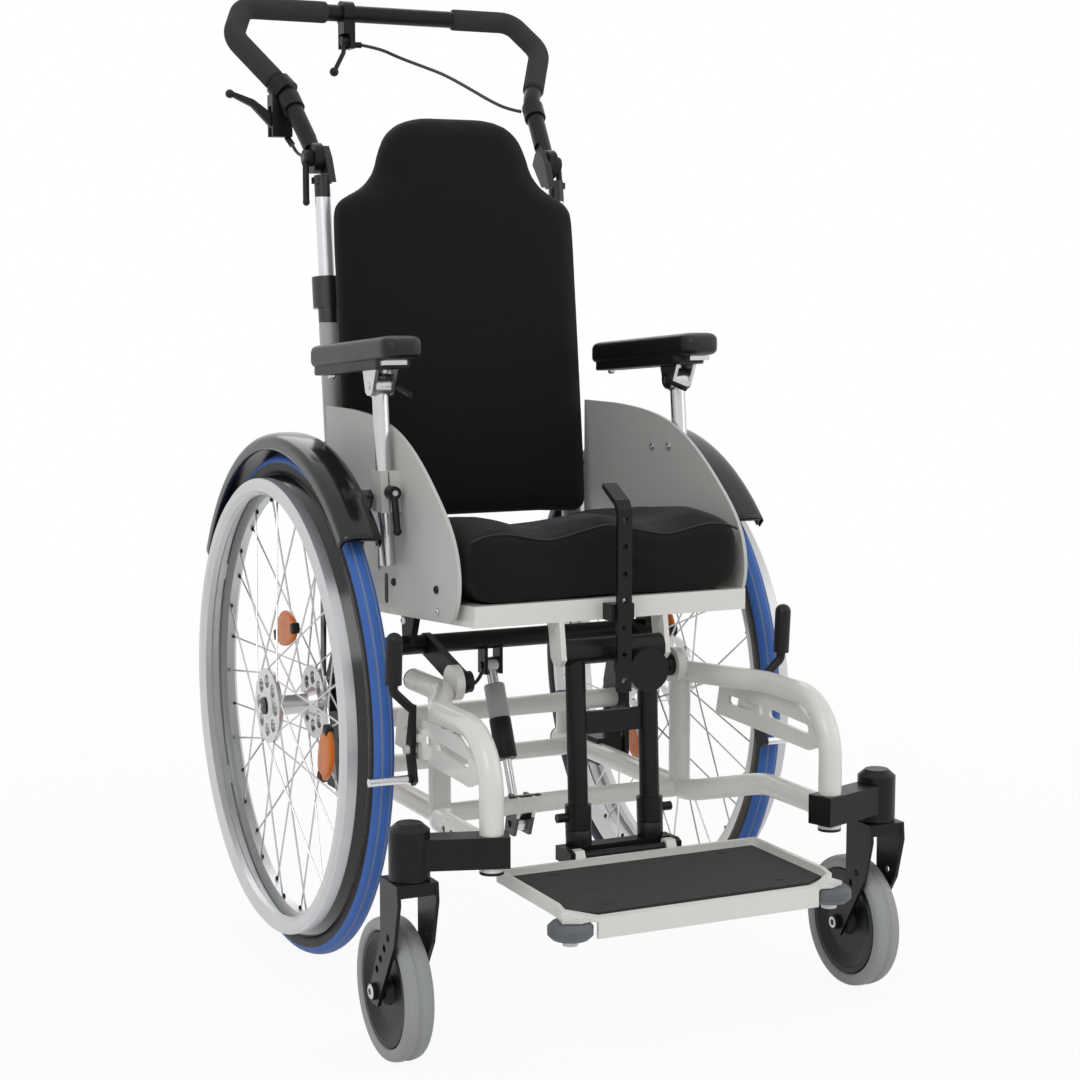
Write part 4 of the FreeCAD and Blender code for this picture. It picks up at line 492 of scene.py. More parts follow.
def makeCord(name, s):
    curve = bpy.data.curves.new(name, "CURVE")
    curve.dimensions = "3D"
    curve.bevel_depth = s["diameter"] / 2
    curve.bevel_resolution = 6
    curve.resolution_u = 16
    curve.use_fill_caps = True
    spline = curve.splines.new("NURBS")
    spline.points.add(len(s["points"]) - 1)
    weights = np.ones((len(s["points"]), 1))
    spline.points.foreach_set("co", np.hstack([np.array(s["points"]), weights]).ravel())
    spline.order_u = 3
    spline.use_endpoint_u = True
    curve.materials.append(makeFinish("cableSheath"))
    cord = bpy.data.objects.new(name, curve)
    bpy.context.scene.collection.objects.link(cord)
    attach(cord, s["body"])
    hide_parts(s["node"])
    return cord


for cordName, cordSettings in cordPieces.items():
    makeCord(cordName, cordSettings)
print("cords laid")


# CAD nodes that stay, with their finishes; some hold pieces of two finishes
wheelPlane = 242.0
wheelHeight = 296.0
black = (0.016, 0.016, 0.017)
silverColor = (0.70, 0.71, 0.73)
nodeFinishes = {
    "mudguards": "glossBlack", "caster_housings": "blackPaint", "axle_plates": "blackPaint",
    "plugs_and_pivot_bolts": "blackPlastic", "tilt_yoke": "blackPaint", "side_panels": "panelGrey",
    "pommel_bar": "blackPaint", "seat_frame": "whitePaint", "push_bar": "blackPaint",
    "tilt_lever": "blackPlastic", "brake_lever": "blackPlastic", "spring_rod": "steel",
    "leg_hanger": "blackPaint", "leg_slides": "blackPaint", "footplate": "whitePlate",
    "foot_mat": "gripMat", "brake_rails": "whitePaint",
}
for word in sideNames.values():
    nodeFinishes.update({
        "side_frame_" + word: "whitePaint", "rim_" + word: "anodised", "hub_" + word: "silver",
        "release_button_" + word: "silver", "caster_fork_" + word: "blackPaint",
        "caster_rim_" + word: "blackPlastic", "armrest_post_" + word: "silver",
        "pad_bracket_" + word: "steel", "height_lever_" + word: "blackPlastic",
        "angle_lever_" + word: "blackPlastic", "cam_lever_" + word: "blackPlastic",
    })
zoneFinishes = {
    "push_stems": ("stemSilver", [((-230, 60, 897), (230, 220, 1000), (0.02, 0.02, 0.021), 0.3, 0.3)]),
    "cross_tubes": ("whitePaint", [((-70, -235, 160), (-30, -190, 215), black, 0.4, 0.0)]),
    "back_frame": ("greyPaint", [((-190, 60, 745), (190, 140, 830), black, 0.4, 0.0)]),
    "spring_cylinder": ("silver", [((-70, -200, 200), (-30, -160, 292), black, 0.35, 0.0)]),
}
for sign, word in sideNames.items():
    pin = sorted((sign * 224, sign * 270))
    pinZone = ((pin[0], -316, 258), (pin[1], -300, 274), silverColor, 0.25, 1.0)
    zoneFinishes["parking_brake_" + word] = ("blackPlastic", [pinZone])


def paintNode(name, material):
    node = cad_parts[name]
    node.data.materials.clear()
    node.data.materials.append(material)


handrimBand = {"near": 0.2499, "far": 0.2651, "radius": 0.2660, "color": (0.007, 0.007, 0.008), "rough": 0.14}


def axleDistance(tree, split):
    # distance of the point from the rear axle: sqrt(y^2 + z^2) about the axle
    y = mathNode(tree, "SUBTRACT", split.outputs["Y"], axleSetback / 1000)
    z = mathNode(tree, "SUBTRACT", split.outputs["Z"], wheelHeight / 1000)
    total = mathNode(tree, "ADD", mathNode(tree, "MULTIPLY", y, y), mathNode(tree, "MULTIPLY", z, z))
    return mathNode(tree, "SQRT", total)


def handrimFinish(name, sign):
    # black where near < |x| < far and the distance from the axle is over the given radius
    material = makeFinish(name, "anodised")
    tree = material.node_tree
    shader = tree.nodes["Principled BSDF"]
    split = tree.nodes.new("ShaderNodeSeparateXYZ")
    tree.links.new(tree.nodes.new("ShaderNodeTexCoord").outputs["Object"], split.inputs[0])
    across = mathNode(tree, "MULTIPLY", split.outputs["X"], float(sign))
    radius = axleDistance(tree, split)
    side = mathNode(tree, "MULTIPLY", mathNode(tree, "GREATER_THAN", across, handrimBand["near"]),
                    mathNode(tree, "LESS_THAN", across, handrimBand["far"]))
    mask = mathNode(tree, "MULTIPLY", side, mathNode(tree, "GREATER_THAN", radius, handrimBand["radius"]))
    for socket, value in (("Base Color", handrimBand["color"]), ("Roughness", handrimBand["rough"])):
        before = shader.inputs[socket].links[0].from_socket
        mix = mixColor if socket == "Base Color" else mixNumber
        tree.links.new(mix(tree, mask, before, value), shader.inputs[socket])
    tree.links.new(mixNumber(tree, mask, finishes["anodised"]["metal"], 0.0), shader.inputs["Metallic"])
    return material


for sign, word in sideNames.items():
    paintNode("handrim_" + word, handrimFinish("handrimFinish_" + word, sign))
for nodeName, finishName in nodeFinishes.items():
    paintNode(nodeName, makeFinish(finishName))
for nodeName, (finishName, zoneList) in zoneFinishes.items():
    paintNode(nodeName, makeFinish(nodeName + "Finish", finishName, zoneList))
print("frame painted")


# wheel tyres: superellipse section with shallow tread grooves
tyre = {"halfWidth": 12.0, "outer": 296.0, "height": 25.5, "grooves": (-5.2, 5.2), "grooveDepth": 0.9,
        "grooveWidth": 0.9, "blue": (0.055, 0.16, 0.52), "stripe": (0.17, 0.22, 0.36),
        "wall": (0.018, 0.018, 0.02), "tan": (0.42, 0.30, 0.17), "treadFrom": 0.2868, "tanUpTo": 0.2735,
        "stripeHalf": 0.0011, "bump": 0.12}


def tyreProfile(s):
    a = np.linspace(0, 2 * math.pi, 128, endpoint=False) + math.pi / 128
    offset = s["halfWidth"] * signedPower(np.sin(a), 0.85)
    radius = s["outer"] - s["height"] / 2 + s["height"] / 2 * signedPower(np.cos(a), 0.85)
    groove = sum(np.exp(-((offset - g) / s["grooveWidth"]) ** 2) for g in s["grooves"])
    radius = radius - s["grooveDepth"] * groove * (np.cos(a) > 0)
    return np.stack([offset, radius], 1)


def tyreFinish(name, sign):
    # colour by distance from the axle and from the wheel's middle plane
    material = makeFinish(name, "foam")
    tree = material.node_tree
    shader = tree.nodes["Principled BSDF"]
    place = tree.nodes.new("ShaderNodeTexCoord").outputs["Object"]
    split = tree.nodes.new("ShaderNodeSeparateXYZ")
    tree.links.new(place, split.inputs[0])
    fromPlane = mathNode(tree, "SUBTRACT", split.outputs["X"], sign * wheelPlane / 1000)
    across = mathNode(tree, "ABSOLUTE", fromPlane)
    radius = axleDistance(tree, split)
    tread = mathNode(tree, "GREATER_THAN", radius, tyre["treadFrom"])
    grooveAt = tyre["grooves"][1] / 1000
    aside = mathNode(tree, "ABSOLUTE", mathNode(tree, "SUBTRACT", across, grooveAt))
    stripe = mathNode(tree, "LESS_THAN", aside, tyre["stripeHalf"])
    tanLine = mathNode(tree, "LESS_THAN", radius, tyre["tanUpTo"])
    clouds = noiseNode(tree, place, 30.0, 4.0)
    blue = mixColor(tree, clouds, tyre["blue"], tuple(c * 0.82 for c in tyre["blue"]))
    color = mixColor(tree, stripe, blue, tyre["stripe"])
    color = mixColor(tree, tread, tyre["wall"], color)
    color = mixColor(tree, tanLine, color, tyre["tan"])
    tree.links.new(color, shader.inputs["Base Color"])
    tree.links.new(mixNumber(tree, clouds, 0.45, 0.6), shader.inputs["Roughness"])
    tree.nodes["Bump"].inputs["Strength"].default_value = tyre["bump"]
    return material


for sign, word in sideNames.items():
    grid = revolve(tyreProfile(tyre), (sign * wheelPlane, 0, wheelHeight), 288, sign)
    addPiece("wheelTyre_" + word, gridMesh("wheelTyre_" + word, grid, wrapRows=True), "wheel_" + word,
             tyreFinish("tyreFinish_" + word, sign), ["tyre_" + word])
print("tyres made")


# reflectors: egg outline with its narrow end outwards, held by a clip on each side
reflector = {"left": [(23, 383), (-112, 255)], "right": [(-19, 369), (47, 195)], "half": (4.0, 34.0, 21.0),
             "clip": (5.0, 6.5, 5.0), "clipAway": 31.0, "plane": 244.0}


def turnedGrid(grid, centre, angle):
    # a grid about the origin turned about x and moved: (y c - z s, y s + z c) + centre
    c, n = math.cos(angle), math.sin(angle)
    y, z = grid[..., 1], grid[..., 2]
    return np.asarray(centre) + np.stack([grid[..., 0], y * c - z * n, y * n + z * c], -1)


def eggGrid(half):
    # x = hx sin^p v, y = hy cos u cos^q v along the spokes, z = hz sin u (1 - 0.22 cos u) cos^q v
    v = np.linspace(-math.pi / 2 + 0.02, math.pi / 2 - 0.02, 16)[:, None]
    u = np.linspace(0, 2 * math.pi, 48, endpoint=False)[None, :]
    along = half[2] * np.cos(u) * signedPower(np.cos(v), 0.4)
    across = half[1] * np.sin(u) * (1 - 0.22 * np.cos(u)) * signedPower(np.cos(v), 0.4)
    x = np.broadcast_to(half[0] * signedPower(np.sin(v), 0.5), along.shape)
    return np.stack([x, along, across], -1)


for sign, word in sideNames.items():
    for index, (y, z) in enumerate(reflector[word]):
        outward = math.atan2(z - wheelHeight, y)
        centre = (sign * reflector["plane"], y, z)
        name = f"reflector{index}_{word}"
        grid = turnedGrid(eggGrid(reflector["half"]), centre, outward)
        addPiece(name, gridMesh(name, grid), "wheel_" + word, "reflector")
        for edge in (-1, 1):
            clip = roundedBlock((0, -4, edge * reflector["clipAway"]), reflector["clip"], 0.3, 12, 24)
            clipName = f"reflectorClip{index}{'AB'[edge > 0]}_{word}"
            addPiece(clipName, gridMesh(clipName, turnedGrid(clip, centre, outward)), "wheel_" + word,
                     "blackPlastic")
print("reflectors made")


# spoke nipples: small dark cones on the inside of each rim, alternating across its middle
nipple = {"count": 36, "radius": 251.6, "half": (1.9, 1.9, 4.2), "offset": 2.6}
for sign, word in sideNames.items():
    rows, cols = 8, 12
    cone = roundedBlock((0, 0, 0), nipple["half"], 0.8, rows, cols)
    points, faces = [], []
    for index in range(nipple["count"]):
        angle = 2 * math.pi * index / nipple["count"]
        across = sign * wheelPlane + nipple["offset"] * (1 if index % 2 else -1)
        centre = (across, nipple["radius"] * math.cos(angle),
                  wheelHeight + nipple["radius"] * math.sin(angle))
        faces.append(gridFaces(rows, cols, False, True) + len(points) * rows * cols)
        points.append(turnedGrid(cone, centre, angle - math.pi / 2).reshape(-1, 3))
    mesh = bpy.data.meshes.new("nipples_" + word)
    mesh.from_pydata(toFrame(np.vstack(points)).tolist(), [], np.vstack(faces).tolist())
    tidyMesh(mesh)
    addPiece("nipples_" + word, mesh, "wheel_" + word, "blackPlastic")
print("nipples made")


# caster tyres: flat-topped section with a centre groove
caster = {"x": 279.5, "y": -407.0, "radius": 74.0, "half": 15.0, "height": 15.0, "groove": 2.0,
          "grooveWidth": 2.6}
for sign, word in sideNames.items():
    a = np.linspace(0, 2 * math.pi, 120, endpoint=False) + math.pi / 120
    offset = caster["half"] * signedPower(np.sin(a), 0.7)
    radius = caster["radius"] - caster["height"] / 2 + caster["height"] / 2 * signedPower(np.cos(a), 0.55)
    radius = radius - caster["groove"] * np.exp(-(offset / caster["grooveWidth"]) ** 4) * (np.cos(a) > 0)
    grid = revolve(np.stack([offset, radius], 1), (sign * caster["x"], caster["y"], caster["radius"]), 160)
    addPiece("casterTyre_" + word, gridMesh("casterTyre_" + word, grid, wrapRows=True),
             "caster_wheel_" + word, "casterRubber", ["caster_tyre_" + word])
print("caster tyres made")


# cushions: closed shells lofted by arrays, swollen by a short cloth run
filling = {"frames": 20, "quality": 5, "stiffness": 25, "smoothing": 6}


def swell(name, mesh, voxel, pressure, cap):
    # voxel remesh, cloth with inner pressure and no gravity, moves capped, then one subdivision
    work = bpy.data.objects.new(name + "Work", mesh)
    bpy.context.scene.collection.objects.link(work)
    remesh = work.modifiers.new("voxels", "REMESH")
    remesh.mode = "VOXEL"
    remesh.voxel_size = voxel / 1000
    graph = bpy.context.evaluated_depsgraph_get()
    base = bpy.data.meshes.new_from_object(work.evaluated_get(graph))
    work.modifiers.clear()
    work.data = base
    rest = np.zeros(len(base.vertices) * 3)
    base.vertices.foreach_get("co", rest)
    rest = rest.reshape(-1, 3)
    moved = rest
    cloth = work.modifiers.new("fill", "CLOTH")
    cloth.settings.use_pressure = True
    cloth.settings.uniform_pressure_force = pressure
    cloth.settings.effector_weights.gravity = 0.0
    cloth.settings.quality = filling["quality"]
    cloth.settings.tension_stiffness = filling["stiffness"]
    cloth.settings.compression_stiffness = filling["stiffness"]
    cloth.point_cache.frame_start = 1
    cloth.point_cache.frame_end = filling["frames"]
    for frameNumber in range(1, filling["frames"] + 1):
        bpy.context.scene.frame_set(frameNumber)
    graph = bpy.context.evaluated_depsgraph_get()
    result = work.evaluated_get(graph).to_mesh()
    moved = np.zeros(len(result.vertices) * 3)
    result.vertices.foreach_get("co", moved)
    moved = moved.reshape(-1, 3)
    work.evaluated_get(graph).to_mesh_clear()
    work.modifiers.clear()
    bpy.context.scene.frame_set(1)
    step = moved - rest
    length = np.linalg.norm(step, axis=1)[:, None]
    moved = rest + step * np.minimum(1.0, cap / 1000 / np.maximum(length, 1e-9))
    base.vertices.foreach_set("co", moved.ravel())
    base.update()
    smooth = work.modifiers.new("smooth", "SMOOTH")
    smooth.iterations = filling["smoothing"]
    smooth.factor = 0.5
    subdivide = work.modifiers.new("finer", "SUBSURF")
    subdivide.levels = subdivide.render_levels = 1
    graph = bpy.context.evaluated_depsgraph_get()
    done = bpy.data.meshes.new_from_object(work.evaluated_get(graph))
    bpy.data.objects.remove(work)
    done.name = name
    done.shade_smooth()
    return done


def readPoints(mesh):
    points = np.zeros(len(mesh.vertices) * 3)
    mesh.vertices.foreach_get("co", points)
    return points.reshape(-1, 3) * 1000 - [0.0, axleSetback, 0.0]


def writePoints(mesh, points):
    mesh.vertices.foreach_set("co", toFrame(points).ravel())
    mesh.update()


backPad = {
    "lean": 0.1115, "hingeY": 62.0, "hingeZ": 440.0, "depth": 41.0, "rest": 14.0, "corner": 0.28,
    "heights": (504, 512, 560, 700, 850, 880, 893, 902, 912, 930, 955, 975, 988, 995, 999),
    "halves": (150, 163, 165, 165, 164.5, 163, 156, 140, 122, 108, 100, 90, 76, 60, 40),
    "voxel": 5.0, "pressure": 4.0, "cap": 5.0,
}


def backPadGrid(s):
    # section at height z: superellipse x = h cos^p, depth = d/2 sin^p, set off the leaning tubes
    dense = np.concatenate([np.linspace(504, 520, 8), np.linspace(530, 860, 40), np.linspace(866, 999, 48)])
    half = np.interp(dense, s["heights"], s["halves"])
    kernel = np.ones(5) / 5
    half[4:-4] = np.convolve(half, kernel, "same")[4:-4]
    edge = np.minimum((dense - 503) / 9, (1001 - dense) / 16)
    thick = s["depth"] / 2 * np.sqrt(np.clip(1 - (1 - np.clip(edge, 0, 1)) ** 2, 0.08, 1))
    a = np.linspace(0, 2 * math.pi, 120, endpoint=False)
    x = half[:, None] * signedPower(np.cos(a), s["corner"])[None, :]
    y = thick[:, None] * signedPower(np.sin(a), 0.55)[None, :]
    middle = s["hingeY"] + (dense - s["hingeZ"]) * s["lean"] - s["rest"] - s["depth"] / 2 - 1
    y = y + middle[:, None]
    z = np.broadcast_to(dense[:, None], x.shape)
    return np.stack([x, y, z], -1)


shell = gridMesh("backPadShell", backPadGrid(backPad))
mesh = swell("backPad", shell, backPad["voxel"], backPad["pressure"], backPad["cap"])
points = readPoints(mesh)
plane = backPad["hingeY"] + (points[:, 2] - backPad["hingeZ"]) * backPad["lean"] - backPad["rest"]
points[:, 1] = np.minimum(points[:, 1], plane + 0.6)   # flat where it rests on the tubes
writePoints(mesh, points)
addPiece("backPad", mesh, "back", "cloth", ["back_cushion"])
print("back cushion made")

seatPad = {
    "slope": math.tan(math.radians(4.0)), "frontY": -349.0, "rearY": 21.0, "frontTop": 453.0, "half": 166.0,
    "shares": (0.0, 0.05, 0.2, 0.5, 0.8, 0.96, 1.0), "side": (80, 88, 91, 89, 84, 78, 70),
    "trough": (68, 71, 72, 66, 61, 58, 54), "middle": (80, 84, 84, 72, 63, 60, 56),
    "panUp": 1.2, "between": 171.5, "voxel": 5.0, "pressure": 4.0, "cap": 5.0,
}


def seatPadGrid(s):
    # top height h(x) = trough + (side - trough) ramp(|x|) + (middle - trough) bump(x)
    y = np.concatenate([np.linspace(s["frontY"], s["frontY"] + 14, 8),
                        np.linspace(s["frontY"] + 22, s["rearY"] - 22, 56),
                        np.linspace(s["rearY"] - 14, s["rearY"], 8)])
    share = (y - s["frontY"]) / (s["rearY"] - s["frontY"])
    profiles = [np.interp(share, s["shares"], s[key])[:, None] for key in ("side", "trough", "middle")]
    side, trough, middle = profiles
    end = np.clip(np.minimum(y - s["frontY"], s["rearY"] - y) / 14.0, 0, 1)[:, None]
    roundEnd = np.sqrt(np.clip(1 - (1 - end) ** 2, 0, 1))
    a = np.linspace(0, 2 * math.pi, 144, endpoint=False)[None, :]
    across = signedPower(np.cos(a), 0.3)
    half = s["half"] - 12 * (1 - roundEnd)
    x = half * across
    ramp = 0.5 - 0.5 * np.cos(math.pi * np.clip((np.abs(across) - 0.42) / 0.5, 0, 1))
    bump = np.exp(-((across / 0.2) ** 2))
    top = trough + (side - trough) * ramp + (middle - trough) * bump
    low = s["frontTop"] + 1.5 - (y[:, None] - -345.0) * s["slope"]
    share = 0.5 + 0.5 * signedPower(np.sin(a), 0.45)
    squeeze = 9 * (1 - roundEnd)
    z = low + squeeze + (top - 2 * squeeze) * share
    return np.stack([x, np.broadcast_to(y[:, None], x.shape), z], -1)


shell = gridMesh("seatPadShell", seatPadGrid(seatPad))
mesh = swell("seatPad", shell, seatPad["voxel"], seatPad["pressure"], seatPad["cap"])
points = readPoints(mesh)
floorLine = seatPad["frontTop"] + seatPad["panUp"] - (points[:, 1] + 345.0) * seatPad["slope"]
points[:, 2] = np.maximum(points[:, 2], floorLine)   # flat on the pan
points[:, 0] = np.clip(points[:, 0], -seatPad["between"], seatPad["between"])  # held between the side panels
writePoints(mesh, points)
seatSurface = points
addPiece("seatPad", mesh, "seat", "cloth", ["seat_cushion"])
print("seat cushion made")


# armrest pads: rounded section along y, drawn in at the ends, crowned on top
armPad = {"x": 187.0, "half": 23.5, "front": -222.0, "rear": 34.0, "thick": 27.0, "hubY": -150.67,
          "low": 704.0, "slope": 4.0, "baseFront": -190.0, "baseRear": 22.0, "baseHalf": 20.0,
          "baseLow": -9.0, "screws": (12.0, -158.0)}


def armPadGrid(s, sign):
    t = np.concatenate([1 - np.cos(np.linspace(0.02, math.pi / 2, 14)), np.linspace(1, 8, 60)[1:-1],
                        8 + np.sin(np.linspace(0, math.pi / 2 - 0.02, 14))]) / 9
    y = s["front"] + t * (s["rear"] - s["front"])
    edge = np.clip(np.minimum(y - s["front"], s["rear"] - y) / 20.0, 0, 1)
    full = np.sqrt(1 - (1 - edge) ** 2.2)
    a = np.linspace(0, 2 * math.pi, 64, endpoint=False)
    x = sign * s["x"] + (s["half"] * (0.35 + 0.65 * full))[:, None] * signedPower(np.cos(a), 0.42)[None, :]
    low = s["low"] + (s["hubY"] - y) * math.tan(math.radians(s["slope"]))
    lift = 0.5 + 0.5 * signedPower(np.sin(a), 0.5)
    raised = 6 * (1 - full)[:, None]
    height = s["thick"] * (0.45 + 0.55 * full)[:, None]
    z = low[:, None] + raised + height * lift[None, :] - raised * lift[None, :]
    return np.stack([x, np.broadcast_to(y[:, None], x.shape), z], -1)


for sign, word in sideNames.items():
    piece = addPiece("armPad_" + word, gridMesh("armPad_" + word, armPadGrid(armPad, sign)),
                     "armrest_pad_" + word, "padSkin", ["armrest_pad_" + word])
    # moulded base under the pad, and the screws that hold it
    y = np.linspace(armPad["baseFront"], armPad["baseRear"], 40)
    low = armPad["low"] + (armPad["hubY"] - y) * math.tan(math.radians(armPad["slope"])) + armPad["baseLow"]
    end = np.clip(np.minimum(y - armPad["baseFront"], armPad["baseRear"] - y) / 6.0, 0, 1)
    full = 0.8 + 0.2 * np.sqrt(1 - (1 - end) ** 2)
    a = np.linspace(0, 2 * math.pi, 48, endpoint=False)
    x = sign * armPad["x"] + (armPad["baseHalf"] * full)[:, None] * signedPower(np.cos(a), 0.2)[None, :]
    z = low[:, None] + 7.0 + 7.0 * full[:, None] * signedPower(np.sin(a), 0.2)[None, :]
    base = np.stack([x, np.broadcast_to(y[:, None], x.shape), z], -1)
    addPiece("armBase_" + word, gridMesh("armBase_" + word, base, sharp=50), "armrest_pad_" + word,
             "blackPlastic")
    for index, screwY in enumerate(armPad["screws"]):
        under = np.interp(screwY, y, low)
        addScrew(f"armScrew{index}_{word}", (sign * armPad["x"], screwY, under), (0, 0, -1), 4.6, 4.0,
                 "armrest_pad_" + word)
print("armrest pads made")


# push bar sleeves: foam along the bar's bent line, rounded at both ends
bar = {"bends": (60, 38, 24, 24, 38, 60), "foam": 14.0, "core": 11.0, "startAt": 22.0, "topFrom": 1120.0}


def barCorners(sign):
    return [(sign * 159, 148, 957), (sign * 170, 212, 1030), (sign * 216, 282, 1104), (sign * 190, 322, 1146)]


def bentLine(corners, bends, step=2.0):
    # straight runs joined by arcs tangent to both runs, sampled at an even step
    corners = np.asarray(corners, float)
    runs = [corners[:1]]
    for corner, before, after, bend in zip(corners[1:-1], corners[:-2], corners[2:], bends):
        back = (before - corner) / np.linalg.norm(before - corner)
        forth = (after - corner) / np.linalg.norm(after - corner)
        half = math.acos(np.clip(back @ forth, -1, 1)) / 2
        centre = corner + (back + forth) / np.linalg.norm(back + forth) * bend / math.sin(half)
        first = corner + back * bend / math.tan(half) - centre
        last = corner + forth * bend / math.tan(half) - centre
        sweepAngle = math.pi - 2 * half
        t = np.linspace(0, 1, 24)[:, None]
        arc = (first * np.sin((1 - t) * sweepAngle) + last * np.sin(t * sweepAngle)) / math.sin(sweepAngle)
        runs.append(centre + arc)
    runs.append(corners[-1:])
    line = np.vstack(runs)
    distance = np.concatenate([[0], np.cumsum(np.linalg.norm(np.diff(line, axis=0), axis=1))])
    even = np.arange(0, distance[-1], step)
    return np.stack([np.interp(even, distance, line[:, k]) for k in range(3)], 1)


barLine = bentLine(barCorners(-1) + barCorners(1)[::-1], bar["bends"])
foamRuns = {"foamLeft": (-1, -74.0), "foamRight": (1, 101.0)}
for sleeveName, (sign, stop) in foamRuns.items():
    start = np.array(barCorners(sign)[1], float)
    along = np.array(barCorners(sign)[2], float) - start
    along /= np.linalg.norm(along)
    beyond = (barLine - start) @ along > bar["startAt"]
    outside = sign * (barLine[:, 0] - stop) > 0
    keep = outside & (beyond | (barLine[:, 2] > bar["topFrom"]))
    run = barLine[keep]
    if sign > 0:
        run = run[::-1]
    distance = np.arange(len(run)) * 2.0
    edge = np.minimum(distance, distance[-1] - distance)
    full = np.sqrt(1 - (1 - np.clip(edge / 4.0, 0, 1)) ** 2)
    radii = bar["core"] + 0.2 + (bar["foam"] - bar["core"] - 0.2) * full
    grid = sweep(run, radii, 40, upward=(0.3, 1.0, -0.5))
    piece = addPiece(sleeveName, gridMesh(sleeveName, grid), "push_bar", "foam", ["push_bar_foam"])
print("sleeves made")


# corner rollers keep their shape and get a rubber skin
for word in sideNames.values():
    paintNode("corner_roller_" + word, makeFinish("rollerRubber"))


# screws on the side panels, and a flat black patch in each slot's outline that paints the shade inside the
# slot
panelDetails = {
    "outer": 177.4, "inner": 172.6, "screwRadius": 4.4, "screwHeight": 2.6,
    "outerScrews": [(-281, 463.5), (-283, 440), (-157.5, 456.8), (-186, 417)],
    "innerScrews": [(-123, 597), (-163, 600)],
    "darkScrews": (0, 2),
    "slot": dict(y=-134.0, low=430.0, high=464.0, half=4.5),
}
for sign, word in sideNames.items():
    for face, direction in (("outer", sign), ("inner", -sign)):
        for index, (y, z) in enumerate(panelDetails[face + "Screws"]):
            finish = "blackPlastic" if face == "outer" and index in panelDetails["darkScrews"] else "silver"
            addScrew(f"{face}Screw{index}_{word}", (sign * panelDetails[face], y, z), (direction, 0, 0),
                     panelDetails["screwRadius"], panelDetails["screwHeight"], "seat", finish)
    # painted shade: the panel has no opening, so a thin black block on its face stands in for the dark slot
    slot = panelDetails["slot"]
    middle = (sign * panelDetails["outer"], slot["y"], (slot["low"] + slot["high"]) / 2)
    block = roundedBlock(middle, (0.5, slot["half"], (slot["high"] - slot["low"]) / 2), 0.4, 12, 32)
    addPiece("slotShadePatch_" + word, gridMesh("slotShadePatch_" + word, block), "seat", "blackPlastic")
print("panel details made")


# gas spring: grey body and black sleeve over the slim cylinder, along the line between its two pins
spring = {"x": -50.0, "top": (-139.0, 350.0), "bottom": (-214.0, 178.0), "length": 112.0, "radius": 12.6,
          "greyFrom": 24.0, "sleeveFrom": 64.0, "bore": 10.8}
springTop = np.array((spring["x"], *spring["top"]))
springAlong = np.array((spring["x"], *spring["bottom"])) - springTop
springAlong /= np.linalg.norm(springAlong)
springSleeves = {
    "springBody": (spring["greyFrom"], spring["sleeveFrom"] + 1, spring["radius"] - 0.4, "greyPaint", 1.2),
    "springSleeve": (spring["sleeveFrom"], spring["length"] + 0.6, spring["radius"], "blackPlastic", 1.5),
}
for pieceName, (first, last, radius, finish, bevel) in springSleeves.items():
    addSleeve(pieceName, springTop + springAlong * first, springTop + springAlong * last, radius,
              spring["bore"], "spring_cylinder", finish, bevel)
print("gas spring dressed")


# domed mudguard skins: (x, r) = (w cos^p t, r0 + h sin^p t) over straight skirts, carried round the axle
# by angle b to (side (plane + x), -r cos b, axle height + r sin b)
guardSkin = {"half": 23.4, "shoulder": 311.0, "crown": 10.5, "skirt": 302.6, "power": 0.77, "fromDeg": 43.6,
             "toDeg": 150.4, "wall": 1.4, "steps": 97}


def guardSkinGrid(s, sign):
    t = np.linspace(0, math.pi, 33)
    skirt = np.linspace(s["skirt"], s["shoulder"], 4)[:-1]
    dome = s["half"] * signedPower(np.cos(t), s["power"])
    height = s["shoulder"] + s["crown"] * signedPower(np.sin(t), s["power"])
    across = np.concatenate([np.full(3, s["half"]), dome, np.full(3, -s["half"])])
    radius = np.concatenate([skirt, height, skirt[::-1]])
    around = np.radians(np.linspace(s["fromDeg"], s["toDeg"], s["steps"]))[:, None]
    x = np.broadcast_to(sign * (wheelPlane + across), (s["steps"], len(across)))
    return np.stack([x, -radius * np.cos(around), wheelHeight + radius * np.sin(around)], -1)


for sign, word in sideNames.items():
    skin = gridMesh("guardSkin_" + word, guardSkinGrid(guardSkin, sign), wrapCols=False, closeEnds=False,
                    sharp=60)
    piece = addPiece("guardSkin_" + word, skin, "frame", "glossBlack")
    wall = piece.modifiers.new("wall", "SOLIDIFY")
    wall.thickness = guardSkin["wall"] / 1000
    wall.offset = 0
print("mudguard skins made")


# footplate mat: thin sheet with two cut corners, over the ribbed strip
mat = {"half": 148.5, "rear": -402.0, "cornerY": -541.0, "frontY": -557.0, "frontHalf": 122.5, "low": 171.1,
       "high": 174.1}


def matGrid(s):
    outline = np.array([(-s["half"], s["rear"]), (s["half"], s["rear"]), (s["half"], s["cornerY"]),
                        (s["frontHalf"], s["frontY"]), (-s["frontHalf"], s["frontY"]),
                        (-s["half"], s["cornerY"])])
    middle = outline.mean(0)
    rings = [(1.0, s["low"]), (1.0, s["high"] - 0.8), (0.994, s["high"])]
    level = np.ones(len(outline))
    return np.stack([np.column_stack([middle + (outline - middle) * k, level * z]) for k, z in rings])


addPiece("footSheet", gridMesh("footSheet", matGrid(mat), sharp=30), "footplate", "gripMat")
print("footplate mat made")


# collars where the inner leg tubes enter the footplate hinge
legCollar = {"x": 44.0, "topY": -356.9, "topZ": 203.5, "lowY": -357.8, "lowZ": 186.0, "radius": 14.3}
for sign, word in sideNames.items():
    addRod("legCollar_" + word, (sign * legCollar["x"], legCollar["topY"], legCollar["topZ"]),
           (sign * legCollar["x"], legCollar["lowY"], legCollar["lowZ"]), legCollar["radius"], "leg_slides",
           "blackPlastic")
print("leg collars made")


